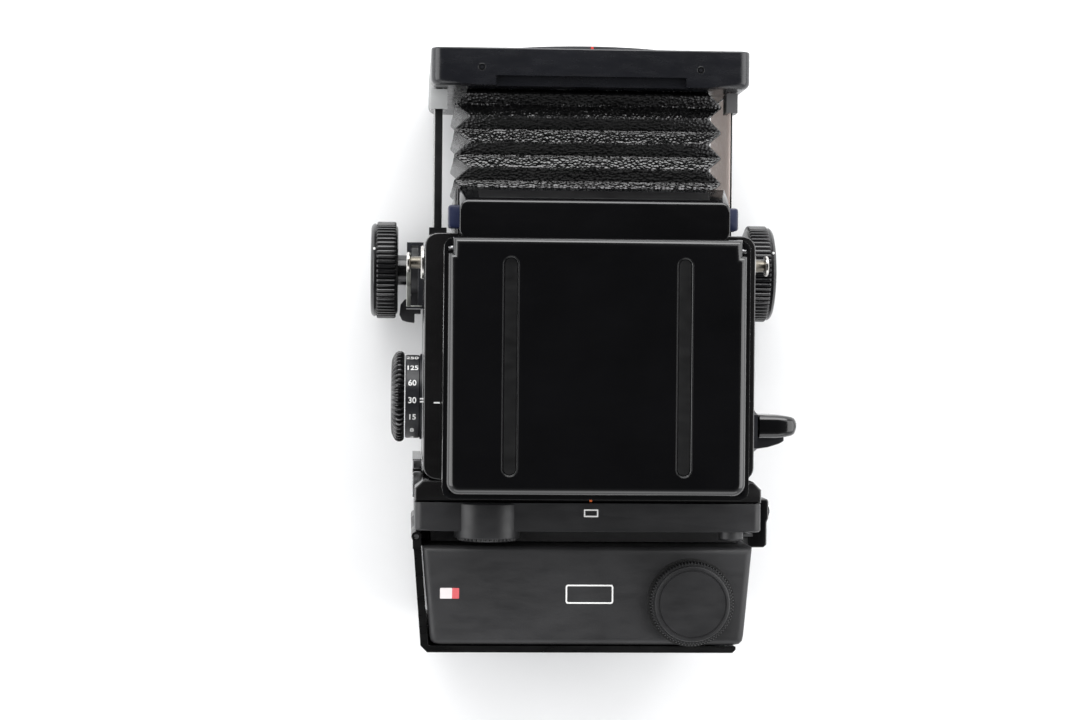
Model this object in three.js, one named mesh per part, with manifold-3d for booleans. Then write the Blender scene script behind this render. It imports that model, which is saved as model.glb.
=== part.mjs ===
// A modular medium-format reflex camera: a body with bellows focusing, a folded waist-level hood,
// a revolving back adapter and a roll-film holder, without a lens.
// Millimetres. +Z is up, +Y is the front (lens) side, +X is the photographer's right.
// The origin is on the underside of the base, straight below the lens axis.
import * as THREE from "three";
import { mergeVertices } from "three/addons/utils/BufferGeometryUtils.js";
import Module from "manifold-3d";

const wasm = await Module();
wasm.setup();

// ---------- Fits ----------
const gap = 0.3; // left between two pieces that touch
const slip = 0.4; // round a piece that slides or turns
const past = 1; // how far a cutter runs past the face it opens

// ---------- Body casting ----------
const bodyWidth = 99.2;
const bodyHeight = 104;
const bodyDepth = 73.5;
const bodyRear = -34;
const bodyWall = 2.4;
const bodyRoof = 3.4;
const bodyCorner = 4;
const baseThickness = 3;
const floorClear = 0.5; // the revolving back hangs this far above the floor
const sideChannel = 9.4; // beside the nose, where the scale plates run
const noseLength = 13.5;
const noseWall = 3.2;
const noseLip = 3.4; // thickness of the nose's front frame
const noseBelow = 12.3; // from the floor up to the nose
const noseAbove = 11.3; // from the nose opening's frame up to the body's top

// ---------- Front standard and bellows ----------
const bellowsSpan = 31.2; // from the nose to the front plate
const bellowsTuck = 6; // each end sits this deep in its frame
const bellowsSkin = 0.9;
const pleatCount = 4;
const pleatDepth = 3.4;
const valleyPhase = 0.4; // where the first valley and ridge fall within one pleat
const ridgePhase = 0.9;
const bellowsCorner = 3;
const standardThickness = 11.3;
const standardInset = 1.4; // the front plate is this much narrower than the body on each side
const standardBelow = 5; // from the floor up to the front plate
const standardCorner = 3.5;
const standardNotch = { halfWidth: 28.7, depth: 3, height: 2.2 };
const throatRadius = 30.5;
const mountRadius = 39.5;
const mountHeight = 1.5;
const travelOut = 20;
const railWidth = 8;
const railInset = 17; // from the body's side to the rail's outer face
const railLift = 1; // above the base plate
const railStep = 1.1; // below the nose
const railTail = 6;
const plateBottom = 40;
const plateBelowTop = 16; // from the body's top down to the scale plates
const plateThicknessLeft = 2.3;
const plateThicknessRight = 0.6;
const plateInsetRight = 5.3;
const plateTail = 27.4; // how far each scale plate reaches behind the body's front face
const bracketDepth = 6;
const bracketHeight = 8;
const bracketWall = 1.1;
const guideDepth = 2;

// ---------- Focusing drive ----------
const shaftRadius = 3;
const shaftZ = 20;
const shaftBehindFront = 8.5;
const pinionWidth = 6;
const knobRadius = 16;
const knobThickness = 8.9;
const knobStandOff = 8.3; // from the body's side to the knob's inner face
const knobHubRadius = 5;
const knobHubLength = 3.4;
const knobBore = 6; // how deep the shaft enters the knob
const knobInnerChamfer = 0.8;
const knobOuterChamfer = 1.4;
const lockRingRadius = 8;
const lockRingWidth = 4;
const lockTab = { outer: 17.5, width: 8, reach: 3.4, clear: 0.4, rootLap: 2 };

// ---------- Accessory shoe and strap lugs ----------
const shoeSlot = 18.6; // the standard width of an accessory foot
const shoeWall = 0.9;
const shoeFloor = 1.5;
const shoeSlotHeight = 2.2;
const shoeLip = 3;
const shoeLipThickness = 1.4;
const shoeHeight = 19;
const shoeBelowTop = 26;
const shoeBehindFront = 12;
const lugBaseRadius = 4.6;
const lugNeckRadius = 1.8;
const lugFlangeRadius = 3;
const lugLength = 5.2;
const lugBaseThickness = 1;
const lugNeckStart = 1.8;
const lugFlangeThickness = 1.2;
const lugFlangeBevel = 0.4;
const lugBehindFront = 8.5;
const lugBelowTop = 12;

// ---------- Finder ----------
const screenWidth = 71;
const screenDepth = 58.5;
const screenThickness = 2;
const screenLap = 1.5; // the glass rests this far onto the roof all round
const screenFromFront = 7.5;
const screenFrameWidth = 2.4;
const screenFrameHeight = 3;
const hoodInset = 5.3; // hood's side in from the body's side
const hoodFrontInset = 2.5;
const hoodRearOverhang = 4.3;
const hoodHeight = 26.2;
const hoodWall = 2;
const hoodCorner = 3;
const hoodFrontDrop = 5; // the front wall stops this far below the side walls
const lidThickness = 2.5;
const lidSeat = 0.5; // the lid lies this far above the hood's walls
const lidInset = 1.2;
const lidRearInset = 1.3;
const grooveWidth = 4.9;
const grooveLength = 63.5;
const grooveDepth = 0.6;
const grooveSpacing = 50.2;
const lidPinRadius = 0.9;
const lidPinFromFront = 3.3;
const lidPinDrop = 0.9; // pin centre below the hood's side walls
const knuckleWidth = 6;
const knuckleX = 26;
const knuckleHalf = 1.5;
const panelThickness = 0.8;
const panelStep = 1.2; // from one folded panel down to the next
const panelInset = 1.2;
const sidePanelWidth = 62;
const rearPanelLength = 60;
const magnifierHalfWidth = 15.5;
const magnifierLength = 30;
const magnifierThickness = 2;
const magnifierLensRadius = 12.5;
const lensUnderside = 0.5; // how far the glass bows down, and its edge and crown above that
const lensEdge = 1.4;
const lensShoulder = { share: 0.6, height: 1.8 };
const magnifierHingeFromLid = 60; // from the lid's hinge back to the magnifier's hinge
const housingInset = 9.95; // housing's side in from the body's side
const housingRearClear = 0.4;
const housingTopDepth = 10.9;
const housingHeight = 15.7;
const housingApron = 4; // upright part of the front face before it slopes back
const housingWall = 2;
const buttonFromRear = 6.5; // from the housing's rear face to the middle of each button
const buttonLength = 6.8;
const buttonHeight = 6;
const buttonRise = 3;
const buttonProud = 3.3;
const buttonStem = 5.4;

// ---------- Mirror ----------
const mirrorAngle = Math.PI / 4;
const mirrorHingeFromRear = 8;
const mirrorHingeBelowTop = 11;
const mirrorFoot = 42.1; // height of the lower end of the resting mirror
const mirrorOverhang = 2; // behind the hinge
const mirrorAxleRadius = 1.6;
const mirrorAxleProud = 4;
const mirrorHalfWidth = 32;
const mirrorFrameThickness = 2.4;
const mirrorGlassThickness = 1.6;
const mirrorBorder = 2.5;

// ---------- Controls ----------
const dialRadius = 14;
const dialRingRadius = 13.2;
const dialRingLength = 6;
const dialCapLength = 4.4;
const dialBelowTop = 28;
const dialFromRear = 24.1;
const leverHubRadius = 13;
const leverHubLength = 4.6;
const leverFromRear = 14;
const leverZ = 38;
const leverArmTop = 40; // from the hub's centre to the top of the arm
const leverArmHalf = 5.2;
const leverGripProud = 12.2;
const leverGripHeight = 20;
const leverGripThickness = 7.2;
const leverGripCorner = 2;
const leverArmInset = 1; // the arm starts this far inside the hub's edge
const shutterInset = 4.6; // from the body's side to the button's centre
const shutterZ = 18;
const shutterRadius = 2.6;
const shutterProud = 5.5;
const shutterRoom = 3.4; // behind the front wall, for the button's travel
const collarRadius = 4.2;
const collarProud = 3.4;
const collarTab = 3.4;
const collarTabHalf = 1.2;

// ---------- Battery and tripod bush ----------
const batteryRadius = 6.1;
const batteryLength = 25;
const batteryFromRear = 6;
const batteryFromSide = 9.2;
const batteryCoverMargin = 1.2;
const bushRadius = 9;
const bushBore = 4.8; // 3/8 inch socket
const bushHeight = 9;
const bushY = 18;

// ---------- Revolving back ----------
const backOverhang = 2.4; // past the body's sides
const rearFrameDepth = 6.3;
const rearFrameSlope = 2.4;
const wingThickness = 2.7;
const wingLength = 5;
const wingHeight = 60;
const adapterDepth = 8.5;
const adapterCorner = 2.4;
const backWindow = 72;
const bossRadius = 9.2;
const bossX = -30.2;
const bossProud = 2;
const bossSetback = 0.4;
const dialLip = 0.2; // the dial is this much smaller than its boss
const holderDialDepth = 3;
const slideFrameDepth = 4;
const slideFrameHalfWidth = 47;
const slideFrameBelow = 36.5; // from the lens axis down to the frame's lower edge
const gateWidth = 70;
const bladeThickness = 0.8;
const bladeMargin = 2.8; // from the blade's top to the frame's
const bladeLap = 4.5; // the blade covers the gate by this much above and below
const bladeEndInset = 3; // the frame's closed end beyond the blade
const gripThickness = 2.8;
const gripGap = 0.6; // the grip stands this far outside the adapter
const gripStandOff = 3.6;
const gripLap = 1;
const gripHalfHeight = 20;
const gripFootDepth = 9.6;
const gripHeadDepth = 5.7;
const loopWire = 0.6;
const loopReach = 2.2;
const loopMargin = 0.8;
const loopZ = 60;
const loopCut = 2;

// ---------- Film holder ----------
const holderTaper = 2.4;
const holderDepth = 29.6;
const holderInset = 2.3; // holder's side in from the adapter's side
const holderBelow = 2; // from the floor up to the holder
const holderBelowTop = 1; // from the body's top down to the holder's
const holderWall = 2.2;
const holderCorner = 3;
const holderRoomCorner = 0.5;
const insertFromRear = 1.2;
const spoolLength = 65;
const spoolFlangeRadius = 12.4;
const spoolFlangeThickness = 1.2;
const spoolCoreRadius = 5.5;
const spoolBore = 2.2;
const spoolSpacing = 62;
const spoolBehindFront = 16.6;
const insertPlate = 3;
const insertHalfWidth = 43.5;
const insertPillarHalf = 11;
const spoolPinRadius = 1.6;
const spoolPinLength = 4;
const rollerRadius = 1.8;
const rollerX = 40.5;
const pressurePlateThickness = 1.5;
const pressurePlateMargin = 1.5;
const advanceKnobRadius = 12.6;
const advanceKnobHeight = 5;
const advanceShaftRadius = 3;
const advanceChamfer = { side: 0.8, top: 1.2 };
const doorThickness = 2.3;
const doorRearThickness = 2;
const doorMargin = 1;
const doorRightStop = 4.8; // the door's free edge in from the holder's side
const doorHingeCorner = 2;
const doorFreeCorner = 1;
const doorPinInset = 0.6; // the hinge pin in from the adapter's side
const doorNeck = { out: 0.7, back: 0.4, lap: 1 }; // the first two are shares of the knuckle
const knuckleRoom = 3;
const doorPinRadius = 0.8;
const doorKnuckleRadius = 1.5;
const doorKnuckleMiddle = 45;

// ---------- Values worked out from the sizes above ----------
const side = bodyWidth / 2;
const bodyFront = bodyRear + bodyDepth;
const lensZ = bodyHeight / 2 + floorClear;
const noseSide = side - sideChannel;
const noseFront = bodyFront + noseLength;
const noseTop = bodyHeight - noseAbove;
const openingSide = noseSide - noseWall;
const openingBottom = noseBelow + noseWall;
const openingTop = noseTop - noseWall;
const bellowsZ = (openingBottom + openingTop) / 2;
const collarHalfWidth = openingSide - slip;
const collarHalfHeight = (openingTop - openingBottom) / 2 - slip;
const standardRear = noseFront + bellowsSpan;
const standardFront = standardRear + standardThickness;
const standardSide = side - standardInset;
const standardTop = 2 * lensZ - standardBelow;
const plateTop = bodyHeight - plateBelowTop;
const shoeTop = bodyHeight - shoeBelowTop;
const mirrorLength = (bodyHeight - mirrorHingeBelowTop - mirrorFoot) / Math.sin(mirrorAngle);
const shaftY = bodyFront - shaftBehindFront;
const railTop = noseBelow - railStep;
const railBottom = baseThickness + gap + railLift;
const railX = side - railInset - railWidth / 2;
const pinionRadius = shaftZ - railTop - gap;
const roofUnder = bodyHeight - bodyRoof;
const deck = bodyHeight + gap; // what stands on the body's top starts here
const hoodSide = side - hoodInset;
const hoodFront = bodyFront - hoodFrontInset;
const hoodRear = bodyRear - hoodRearOverhang;
const hoodTop = deck + hoodHeight;
const lidUnder = hoodTop + lidSeat;
const lidSide = hoodSide - lidInset;
const lidRear = hoodRear + lidRearInset;
const lidPinY = hoodFront - lidPinFromFront;
const lidPinZ = hoodTop - lidPinDrop;
const housingSide = side - housingInset;
const housingRear = hoodFront + housingRearClear;
const buttonY = housingRear + buttonFromRear;
const frameRear = bodyRear - gap - rearFrameDepth;
const backSide = side + backOverhang;
const adapterFront = frameRear - gap;
const adapterRear = adapterFront - adapterDepth;
const slideFrameFront = adapterRear - gap;
const slideFrameRear = slideFrameFront - slideFrameDepth;
const bladeY = (slideFrameFront + slideFrameRear) / 2;
const holderFront = slideFrameRear - gap;
const holderRear = holderFront - holderDepth;
const holderSide = backSide - holderInset;
const holderTop = bodyHeight - holderBelowTop;
const spoolY = holderFront - spoolBehindFront;
const spoolX = spoolSpacing / 2;
const spoolBottom = lensZ - spoolLength / 2;
const spoolTop = lensZ + spoolLength / 2;
const bossZ = lensZ + bodyHeight / 2 + bossProud - bossRadius;
const slideFrameTop = bossZ - bossRadius - gap;
const bladeHalfHeight = slideFrameTop - bladeMargin - lensZ;
const gateHeight = 2 * (bladeHalfHeight - bladeLap);
const gripX = backSide + gripGap;
const doorPinX = -backSide + doorPinInset;
const doorPinY = adapterRear - slip - doorKnuckleRadius;

// ---------- Materials ----------
function finish(color, roughness, metalness) {
  return new THREE.MeshStandardMaterial({ color, roughness, metalness });
}
const satinBlack = finish(0x1b1b1d, 0.42, 0.1);
const glossBlack = finish(0x101012, 0.2, 0.1);
const matteBlack = finish(0x2a2a2b, 0.7, 0.05);
const innerBlack = finish(0x141414, 0.9, 0);
const leatherBlack = finish(0x18181a, 0.55, 0);
const chrome = finish(0xc9cacc, 0.18, 1);
const steel = finish(0x8c8d90, 0.35, 1);
const navyPlastic = finish(0x272d43, 0.4, 0);
const printedPlate = finish(0xd9c8bd, 0.5, 0.1);
const clearGlass = finish(0xcfd8dc, 0.05, 0);
const mirrorSilver = finish(0xe2e4e6, 0.03, 1);
const greyPlastic = finish(0x6a6a6c, 0.5, 0);

// ---------- Geometry helpers ----------
// A closed geometry as a solid that can be joined and cut.
function solid(geometry) {
  const plain = geometry.index ? geometry.toNonIndexed() : geometry.clone();
  plain.deleteAttribute("normal");
  plain.deleteAttribute("uv");
  const merged = mergeVertices(plain, 1e-4);
  return new wasm.Manifold(
    new wasm.Mesh({
      numProp: 3,
      vertProperties: merged.attributes.position.array,
      triVerts: new Uint32Array(merged.index.array),
    }),
  );
}

function join(first, ...others) {
  return others.reduce((whole, other) => whole.add(other), first);
}

function cut(first, ...others) {
  return others.reduce((whole, other) => whole.subtract(other), first);
}

function mesh(name, shape, material) {
  const { vertProperties, triVerts } = shape.getMesh();
  const geometry = new THREE.BufferGeometry();
  geometry.setAttribute("position", new THREE.BufferAttribute(new Float32Array(vertProperties), 3));
  geometry.setIndex(new THREE.BufferAttribute(new Uint32Array(triVerts), 1));
  geometry.computeVertexNormals();
  const made = new THREE.Mesh(geometry, material);
  made.name = name;
  return made;
}

// A block between two corners.
function block([x0, x1], [y0, y1], [z0, z1]) {
  const geometry = new THREE.BoxGeometry(x1 - x0, y1 - y0, z1 - z0);
  return solid(geometry.translate((x0 + x1) / 2, (y0 + y1) / 2, (z0 + z1) / 2));
}

function polygon(points) {
  return new THREE.Shape(points.map(([u, v]) => new THREE.Vector2(u, v)));
}

function circle(u, v, radius, sides = 32) {
  const turn = (2 * Math.PI) / sides;
  const points = Array.from({ length: sides }, (_, i) => [
    u + radius * Math.cos(i * turn),
    v + radius * Math.sin(i * turn),
  ]);
  return polygon(points);
}

// A rectangle whose corners have radius r.
function roundedRectangle([u0, u1], [v0, v1], r) {
  const shape = new THREE.Shape();
  shape.absarc(u1 - r, v0 + r, r, -Math.PI / 2, 0, false);
  shape.absarc(u1 - r, v1 - r, r, 0, Math.PI / 2, false);
  shape.absarc(u0 + r, v1 - r, r, Math.PI / 2, Math.PI, false);
  shape.absarc(u0 + r, v0 + r, r, Math.PI, (3 * Math.PI) / 2, false);
  shape.closePath();
  return shape;
}

const cornerSteps = 3;
function extruded(shape, length) {
  return new THREE.ExtrudeGeometry(shape, { depth: length, bevelEnabled: false, curveSegments: cornerSteps });
}

// An (x, y) outline between two heights.
function alongZ(shape, z0, z1) {
  return solid(extruded(shape, z1 - z0).translate(0, 0, z0));
}

// An (x, z) outline between y0 and y1.
function alongY(shape, y0, y1) {
  return solid(extruded(shape, y1 - y0).rotateX(Math.PI / 2).translate(0, y1, 0));
}

// A (y, z) outline between x0 and x1.
const swapToX = new THREE.Matrix4().makeBasis(
  new THREE.Vector3(0, 1, 0),
  new THREE.Vector3(0, 0, 1),
  new THREE.Vector3(1, 0, 0),
);
function alongX(shape, x0, x1) {
  return solid(extruded(shape, x1 - x0).applyMatrix4(swapToX).translate(x0, 0, 0));
}

// A profile of (radius, height) points that closes on itself, turned about the Z axis.
function turned(profile, sides = 32) {
  const points = [...profile, profile[0]].map(([r, h]) => new THREE.Vector2(r, h));
  return solid(new THREE.LatheGeometry(points, sides).rotateX(Math.PI / 2));
}

// The same, for a solid profile that starts and ends on the axis.
function turnedSolid(profile, sides = 32) {
  const points = profile.map(([r, h]) => new THREE.Vector2(r, h));
  return solid(new THREE.LatheGeometry(points, sides).rotateX(Math.PI / 2));
}

// A skin through closed sections of equally many points; the last section joins the first.
function looped(sections) {
  const around = sections[0].length;
  const positions = sections.flat(2);
  const faces = [];
  sections.forEach((_, i) => {
    const next = (i + 1) % sections.length;
    for (let j = 0; j < around; j++) {
      const k = (j + 1) % around;
      faces.push(i * around + j, next * around + j, next * around + k);
      faces.push(i * around + j, next * around + k, i * around + k);
    }
  });
  const geometry = new THREE.BufferGeometry();
  geometry.setAttribute("position", new THREE.Float32BufferAttribute(positions, 3));
  geometry.setIndex(faces);
  return solid(geometry);
}

// ---------- Body ----------
function bodyOutline() {
  return roundedRectangle([-side, side], [bodyRear, bodyFront], bodyCorner);
}

function bodyShell() {
  const wallInside = side - bodyWall;
  const frontInside = bodyFront - bodyWall;
  const outer = alongZ(bodyOutline(), baseThickness + gap, bodyHeight);
  const nose = block([-noseSide, noseSide], [bodyFront - bodyWall, noseFront], [noseBelow, bodyHeight]);
  const cavity = block([-wallInside, wallInside], [bodyRear - past, frontInside], [0, roofUnder]);
  const noseRoom = block(
    [-openingSide, openingSide],
    [frontInside - past, noseFront - noseLip],
    [openingBottom, roofUnder - bodyWall],
  );
  const mouth = block(
    [-openingSide, openingSide],
    [frontInside - past, noseFront + past],
    [openingBottom, openingTop],
  );
  const screenHole = block(
    [-screenWidth / 2 + screenLap, screenWidth / 2 - screenLap],
    [bodyFront - screenFromFront - screenDepth + screenLap, bodyFront - screenFromFront - screenLap],
    [roofUnder - past, bodyHeight + past],
  );
  const shaftHole = alongX(circle(shaftY, shaftZ, shaftRadius + slip), -side - past, side + past);
  const railSlots = [-railX, railX].map((x) =>
    block(
      [x - railWidth / 2 - slip, x + railWidth / 2 + slip],
      [frontInside - past, bodyFront],
      [0, openingBottom + slip],
    ),
  );
  const plateSlots = scalePlateSpans().map(([x0, x1]) =>
    block(
      [x0 - slip, x1 + slip],
      [frontInside - past, bodyFront + past],
      [plateBottom - slip, plateTop + slip],
    ),
  );
  const buttonHole = alongY(
    circle(side - shutterInset, shutterZ, shutterRadius + slip),
    frontInside - shutterRoom,
    bodyFront + past,
  );
  const openings = [noseRoom, mouth, screenHole, shaftHole, ...railSlots, ...plateSlots, buttonHole];
  return cut(join(cut(outer, cavity), nose), ...openings);
}

// The scale plates' [left, right] faces along X.
function scalePlateSpans() {
  const leftOuter = -(side - bodyWall - slip);
  const rightInner = side - plateInsetRight - plateThicknessRight;
  return [
    [leftOuter, leftOuter + plateThicknessLeft],
    [rightInner, rightInner + plateThicknessRight],
  ];
}

function batteryX() {
  return -(side - batteryFromSide);
}

function batteryHatch(margin) {
  const reach = batteryRadius + margin;
  const y0 = bodyRear + batteryFromRear;
  return block(
    [batteryX() - reach, batteryX() + reach],
    [y0 - margin, y0 + batteryLength + margin],
    [-past, baseThickness + past],
  );
}

function basePlate() {
  const plate = alongZ(bodyOutline(), 0, baseThickness);
  const bushHole = alongZ(circle(0, bushY, bushRadius + gap), -past, baseThickness + past);
  return cut(plate, bushHole, batteryHatch(batteryCoverMargin + gap));
}

function batteryCover() {
  const slab = block([-side, side], [bodyRear, bodyFront], [0, baseThickness]);
  return slab.intersect(batteryHatch(batteryCoverMargin));
}

function battery() {
  const y0 = bodyRear + batteryFromRear;
  const z = baseThickness + gap + slip + batteryRadius;
  return alongY(circle(batteryX(), z, batteryRadius, 24), y0, y0 + batteryLength);
}

function tripodBush() {
  return turned([
    [bushBore, 0],
    [bushRadius, 0],
    [bushRadius, bushHeight],
    [bushBore, bushHeight],
  ]).translate([0, bushY, 0]);
}

function topFrontHousing() {
  const top = deck + housingHeight;
  const outline = polygon([
    [housingRear, deck],
    [noseFront, deck],
    [noseFront, deck + housingApron],
    [housingRear + housingTopDepth, top],
    [housingRear, top],
  ]);
  const room = block(
    [-housingSide + housingWall, housingSide - housingWall],
    [housingRear + housingWall, housingRear + housingTopDepth - housingWall],
    [deck - past, top - housingWall],
  );
  const buttonHoles = block(
    [-housingSide - past, housingSide + past],
    [buttonY - buttonLength / 2 - slip, buttonY + buttonLength / 2 + slip],
    [deck + buttonRise - slip, deck + buttonRise + buttonHeight + slip],
  );
  const roomBelow = alongX(outline, -housingSide, housingSide);
  return cut(roomBelow, room, buttonHoles);
}

function finderButton(sign) {
  const inner = sign * (housingSide + gap - buttonStem);
  const outer = sign * (housingSide + buttonProud);
  return block(
    [Math.min(inner, outer), Math.max(inner, outer)],
    [buttonY - buttonLength / 2, buttonY + buttonLength / 2],
    [deck + buttonRise, deck + buttonRise + buttonHeight],
  );
}

function rearFrame() {
  const front = bodyRear - gap;
  const outline = polygon([
    [-side, front],
    [-backSide, front - rearFrameSlope],
    [-backSide, frameRear],
    [backSide, frameRear],
    [backSide, front - rearFrameSlope],
    [side, front],
  ]);
  const plate = alongZ(outline, floorClear, bodyHeight);
  const window = block(
    [-openingSide, openingSide],
    [frameRear - past, front + past],
    [openingBottom, openingTop],
  );
  const wing = block(
    [-side - gap - wingThickness, -side - gap],
    [frameRear, bodyRear + wingLength],
    [lensZ - wingHeight / 2, lensZ + wingHeight / 2],
  );
  return cut(join(plate, wing), window);
}

function focusingScreen() {
  const y1 = bodyFront - screenFromFront;
  return block(
    [-screenWidth / 2, screenWidth / 2],
    [y1 - screenDepth, y1],
    [deck, deck + screenThickness],
  );
}

function screenFrame() {
  const y1 = bodyFront - screenFromFront + gap;
  const y0 = y1 - screenDepth - 2 * gap;
  const half = screenWidth / 2 + gap;
  const w = screenFrameWidth;
  const outer = block([-half - w, half + w], [y0 - w, y1 + w], [deck, deck + screenFrameHeight]);
  const inner = block([-half, half], [y0, y1], [deck - past, deck + screenFrameHeight + past]);
  return cut(outer, inner);
}

function accessoryShoe() {
  const half = shoeSlot / 2 + shoeWall;
  const middle = bodyFront - shoeBehindFront;
  const x0 = -side - gap;
  const slotX = x0 - shoeFloor;
  const outerX = slotX - shoeSlotHeight - shoeLipThickness;
  const z = [shoeTop - shoeHeight, shoeTop];
  const zCut = [z[0] - past, z[1] + past];
  const outer = block([outerX, x0], [middle - half, middle + half], z);
  const slot = block(
    [slotX - shoeSlotHeight, slotX],
    [middle - shoeSlot / 2, middle + shoeSlot / 2],
    zCut,
  );
  const mouth = block(
    [outerX - past, slotX],
    [middle - shoeSlot / 2 + shoeLip, middle + shoeSlot / 2 - shoeLip],
    zCut,
  );
  return cut(outer, slot, mouth);
}

function strapLug(sign) {
  const flangeAt = lugLength - lugFlangeThickness;
  const lug = turnedSolid(
    [
      [0, 0],
      [lugBaseRadius, 0],
      [lugBaseRadius, lugBaseThickness],
      [lugNeckRadius, lugNeckStart],
      [lugNeckRadius, flangeAt],
      [lugFlangeRadius, flangeAt + lugFlangeBevel],
      [lugFlangeRadius, lugLength],
      [0, lugLength],
    ],
    24,
  );
  const y = bodyFront - lugBehindFront;
  return lug.rotate([0, sign * 90, 0]).translate([sign * (side + gap), y, bodyHeight - lugBelowTop]);
}

// ---------- Hood ----------
function hoodBase() {
  const outline = roundedRectangle([-hoodSide, hoodSide], [hoodRear, hoodFront], hoodCorner);
  const room = block(
    [-hoodSide + hoodWall, hoodSide - hoodWall],
    [hoodRear + hoodWall, hoodFront - hoodWall],
    [deck - past, hoodTop + past],
  );
  const frontDrop = block(
    [-hoodSide + hoodWall, hoodSide - hoodWall],
    [hoodFront - hoodWall - past, hoodFront + past],
    [hoodTop - hoodFrontDrop, hoodTop + past],
  );
  const pinHoles = alongX(
    circle(lidPinY, lidPinZ, lidPinRadius + gap, 16),
    -hoodSide + hoodWall / 2,
    hoodSide - hoodWall / 2,
  );
  return cut(alongZ(outline, deck, hoodTop), room, frontDrop, pinHoles);
}

function hoodHingePin() {
  const half = hoodSide - hoodWall / 2 - gap;
  return alongX(circle(lidPinY, lidPinZ, lidPinRadius, 16), -half, half);
}

function hoodLid() {
  const lid = alongZ(
    roundedRectangle([-lidSide, lidSide], [lidRear, hoodFront], hoodCorner),
    lidUnder,
    lidUnder + lidThickness,
  );
  const middle = (lidRear + hoodFront) / 2;
  const grooves = [-1, 1].map((sign) => {
    const x = (sign * grooveSpacing) / 2;
    const outline = roundedRectangle(
      [x - grooveWidth / 2, x + grooveWidth / 2],
      [middle - grooveLength / 2, middle + grooveLength / 2],
      grooveWidth / 2,
    );
    return alongZ(outline, lidUnder + lidThickness - grooveDepth, lidUnder + lidThickness + past);
  });
  const knuckles = [-1, 1].map((sign) => {
    const x = sign * knuckleX;
    return block(
      [x - knuckleWidth / 2, x + knuckleWidth / 2],
      [lidPinY - knuckleHalf - lidPinRadius, lidPinY + knuckleHalf + lidPinRadius],
      [lidPinZ - knuckleHalf - lidPinRadius / 2, lidUnder + lidThickness / 2],
    );
  });
  const pinHole = alongX(circle(lidPinY, lidPinZ, lidPinRadius + gap, 16), -lidSide, lidSide);
  // Beside the pin the lid is narrow enough to swing down between the hood's side walls.
  const swingSide = hoodSide - hoodWall - gap;
  const corners = [
    [-lidSide - past, -swingSide],
    [swingSide, lidSide + past],
  ].map((x) =>
    block(
      x,
      [lidPinY - lidPinDrop - gap, hoodFront + past],
      [lidUnder - past, lidUnder + lidThickness + past],
    ),
  );
  return cut(join(lid, ...knuckles), ...grooves, ...corners, pinHole);
}

// A folded hood panel; level 0 lies under the magnifier, and each next level one step lower.
function foldedPanel([x0, x1], [y0, y1], level) {
  const top = lidUnder - gap - magnifierThickness - 2 * gap - level * panelStep;
  return block([x0, x1], [y0, y1], [top - panelThickness, top]);
}

function hoodSidePanel(sign) {
  const outer = sign * (hoodSide - hoodWall - panelInset);
  const inner = outer - sign * sidePanelWidth;
  const room = [hoodRear + hoodWall + panelInset, lidPinY - knuckleHalf - lidPinRadius - panelInset];
  return foldedPanel([Math.min(inner, outer), Math.max(inner, outer)], room, sign > 0 ? 1 : 0);
}

function hoodRearPanel() {
  const half = hoodSide - hoodWall - 2 * panelInset;
  const rear = hoodRear + hoodWall + panelInset;
  return foldedPanel([-half, half], [rear, rear + rearPanelLength], 2);
}

// The magnifier lies under the lid; its hinge is at its rear edge.
function magnifierFrame() {
  const rear = lidPinY - magnifierHingeFromLid;
  const z1 = lidUnder - gap;
  const outline = roundedRectangle(
    [-magnifierHalfWidth, magnifierHalfWidth],
    [rear, rear + magnifierLength],
    hoodCorner,
  );
  const hole = circle(0, rear + magnifierLength / 2, magnifierLensRadius + gap, 32);
  return cut(
    alongZ(outline, z1 - magnifierThickness, z1),
    alongZ(hole, z1 - magnifierThickness - past, z1 + past),
  );
}

function magnifierLens() {
  const rear = lidPinY - magnifierHingeFromLid;
  const z0 = lidUnder - gap - magnifierThickness;
  return turnedSolid([
    [0, 0],
    [magnifierLensRadius, lensUnderside],
    [magnifierLensRadius, lensEdge],
    [magnifierLensRadius * lensShoulder.share, lensShoulder.height],
    [0, magnifierThickness],
  ]).translate([0, rear + magnifierLength / 2, z0]);
}

// ---------- Mirror ----------
// A slab that hangs from the mirror's hinge at the resting angle, from s0 to s1 along the mirror
// and from t0 to t1 above the hinge's plane.
function mirrorSlab(half, [s0, s1], [t0, t1]) {
  const y = bodyRear + mirrorHingeFromRear;
  const z = bodyHeight - mirrorHingeBelowTop;
  const slab = block([-half, half], [s0, s1], [t0, t1]);
  return slab.rotate([(-mirrorAngle * 180) / Math.PI, 0, 0]).translate([0, y, z]);
}

function mirrorFrame() {
  const top = mirrorFrameThickness / 2;
  const plate = mirrorSlab(mirrorHalfWidth, [-mirrorOverhang, mirrorLength], [-top, top]);
  const y = bodyRear + mirrorHingeFromRear;
  const z = bodyHeight - mirrorHingeBelowTop;
  const reach = mirrorHalfWidth + mirrorAxleProud;
  const axle = alongX(circle(y, z, mirrorAxleRadius, 16), -reach, reach);
  return join(plate, axle);
}

function mirrorGlass() {
  const bottom = mirrorFrameThickness / 2 + gap;
  return mirrorSlab(
    mirrorHalfWidth - mirrorBorder,
    [mirrorBorder, mirrorLength - mirrorBorder],
    [bottom, bottom + mirrorGlassThickness],
  );
}

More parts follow.
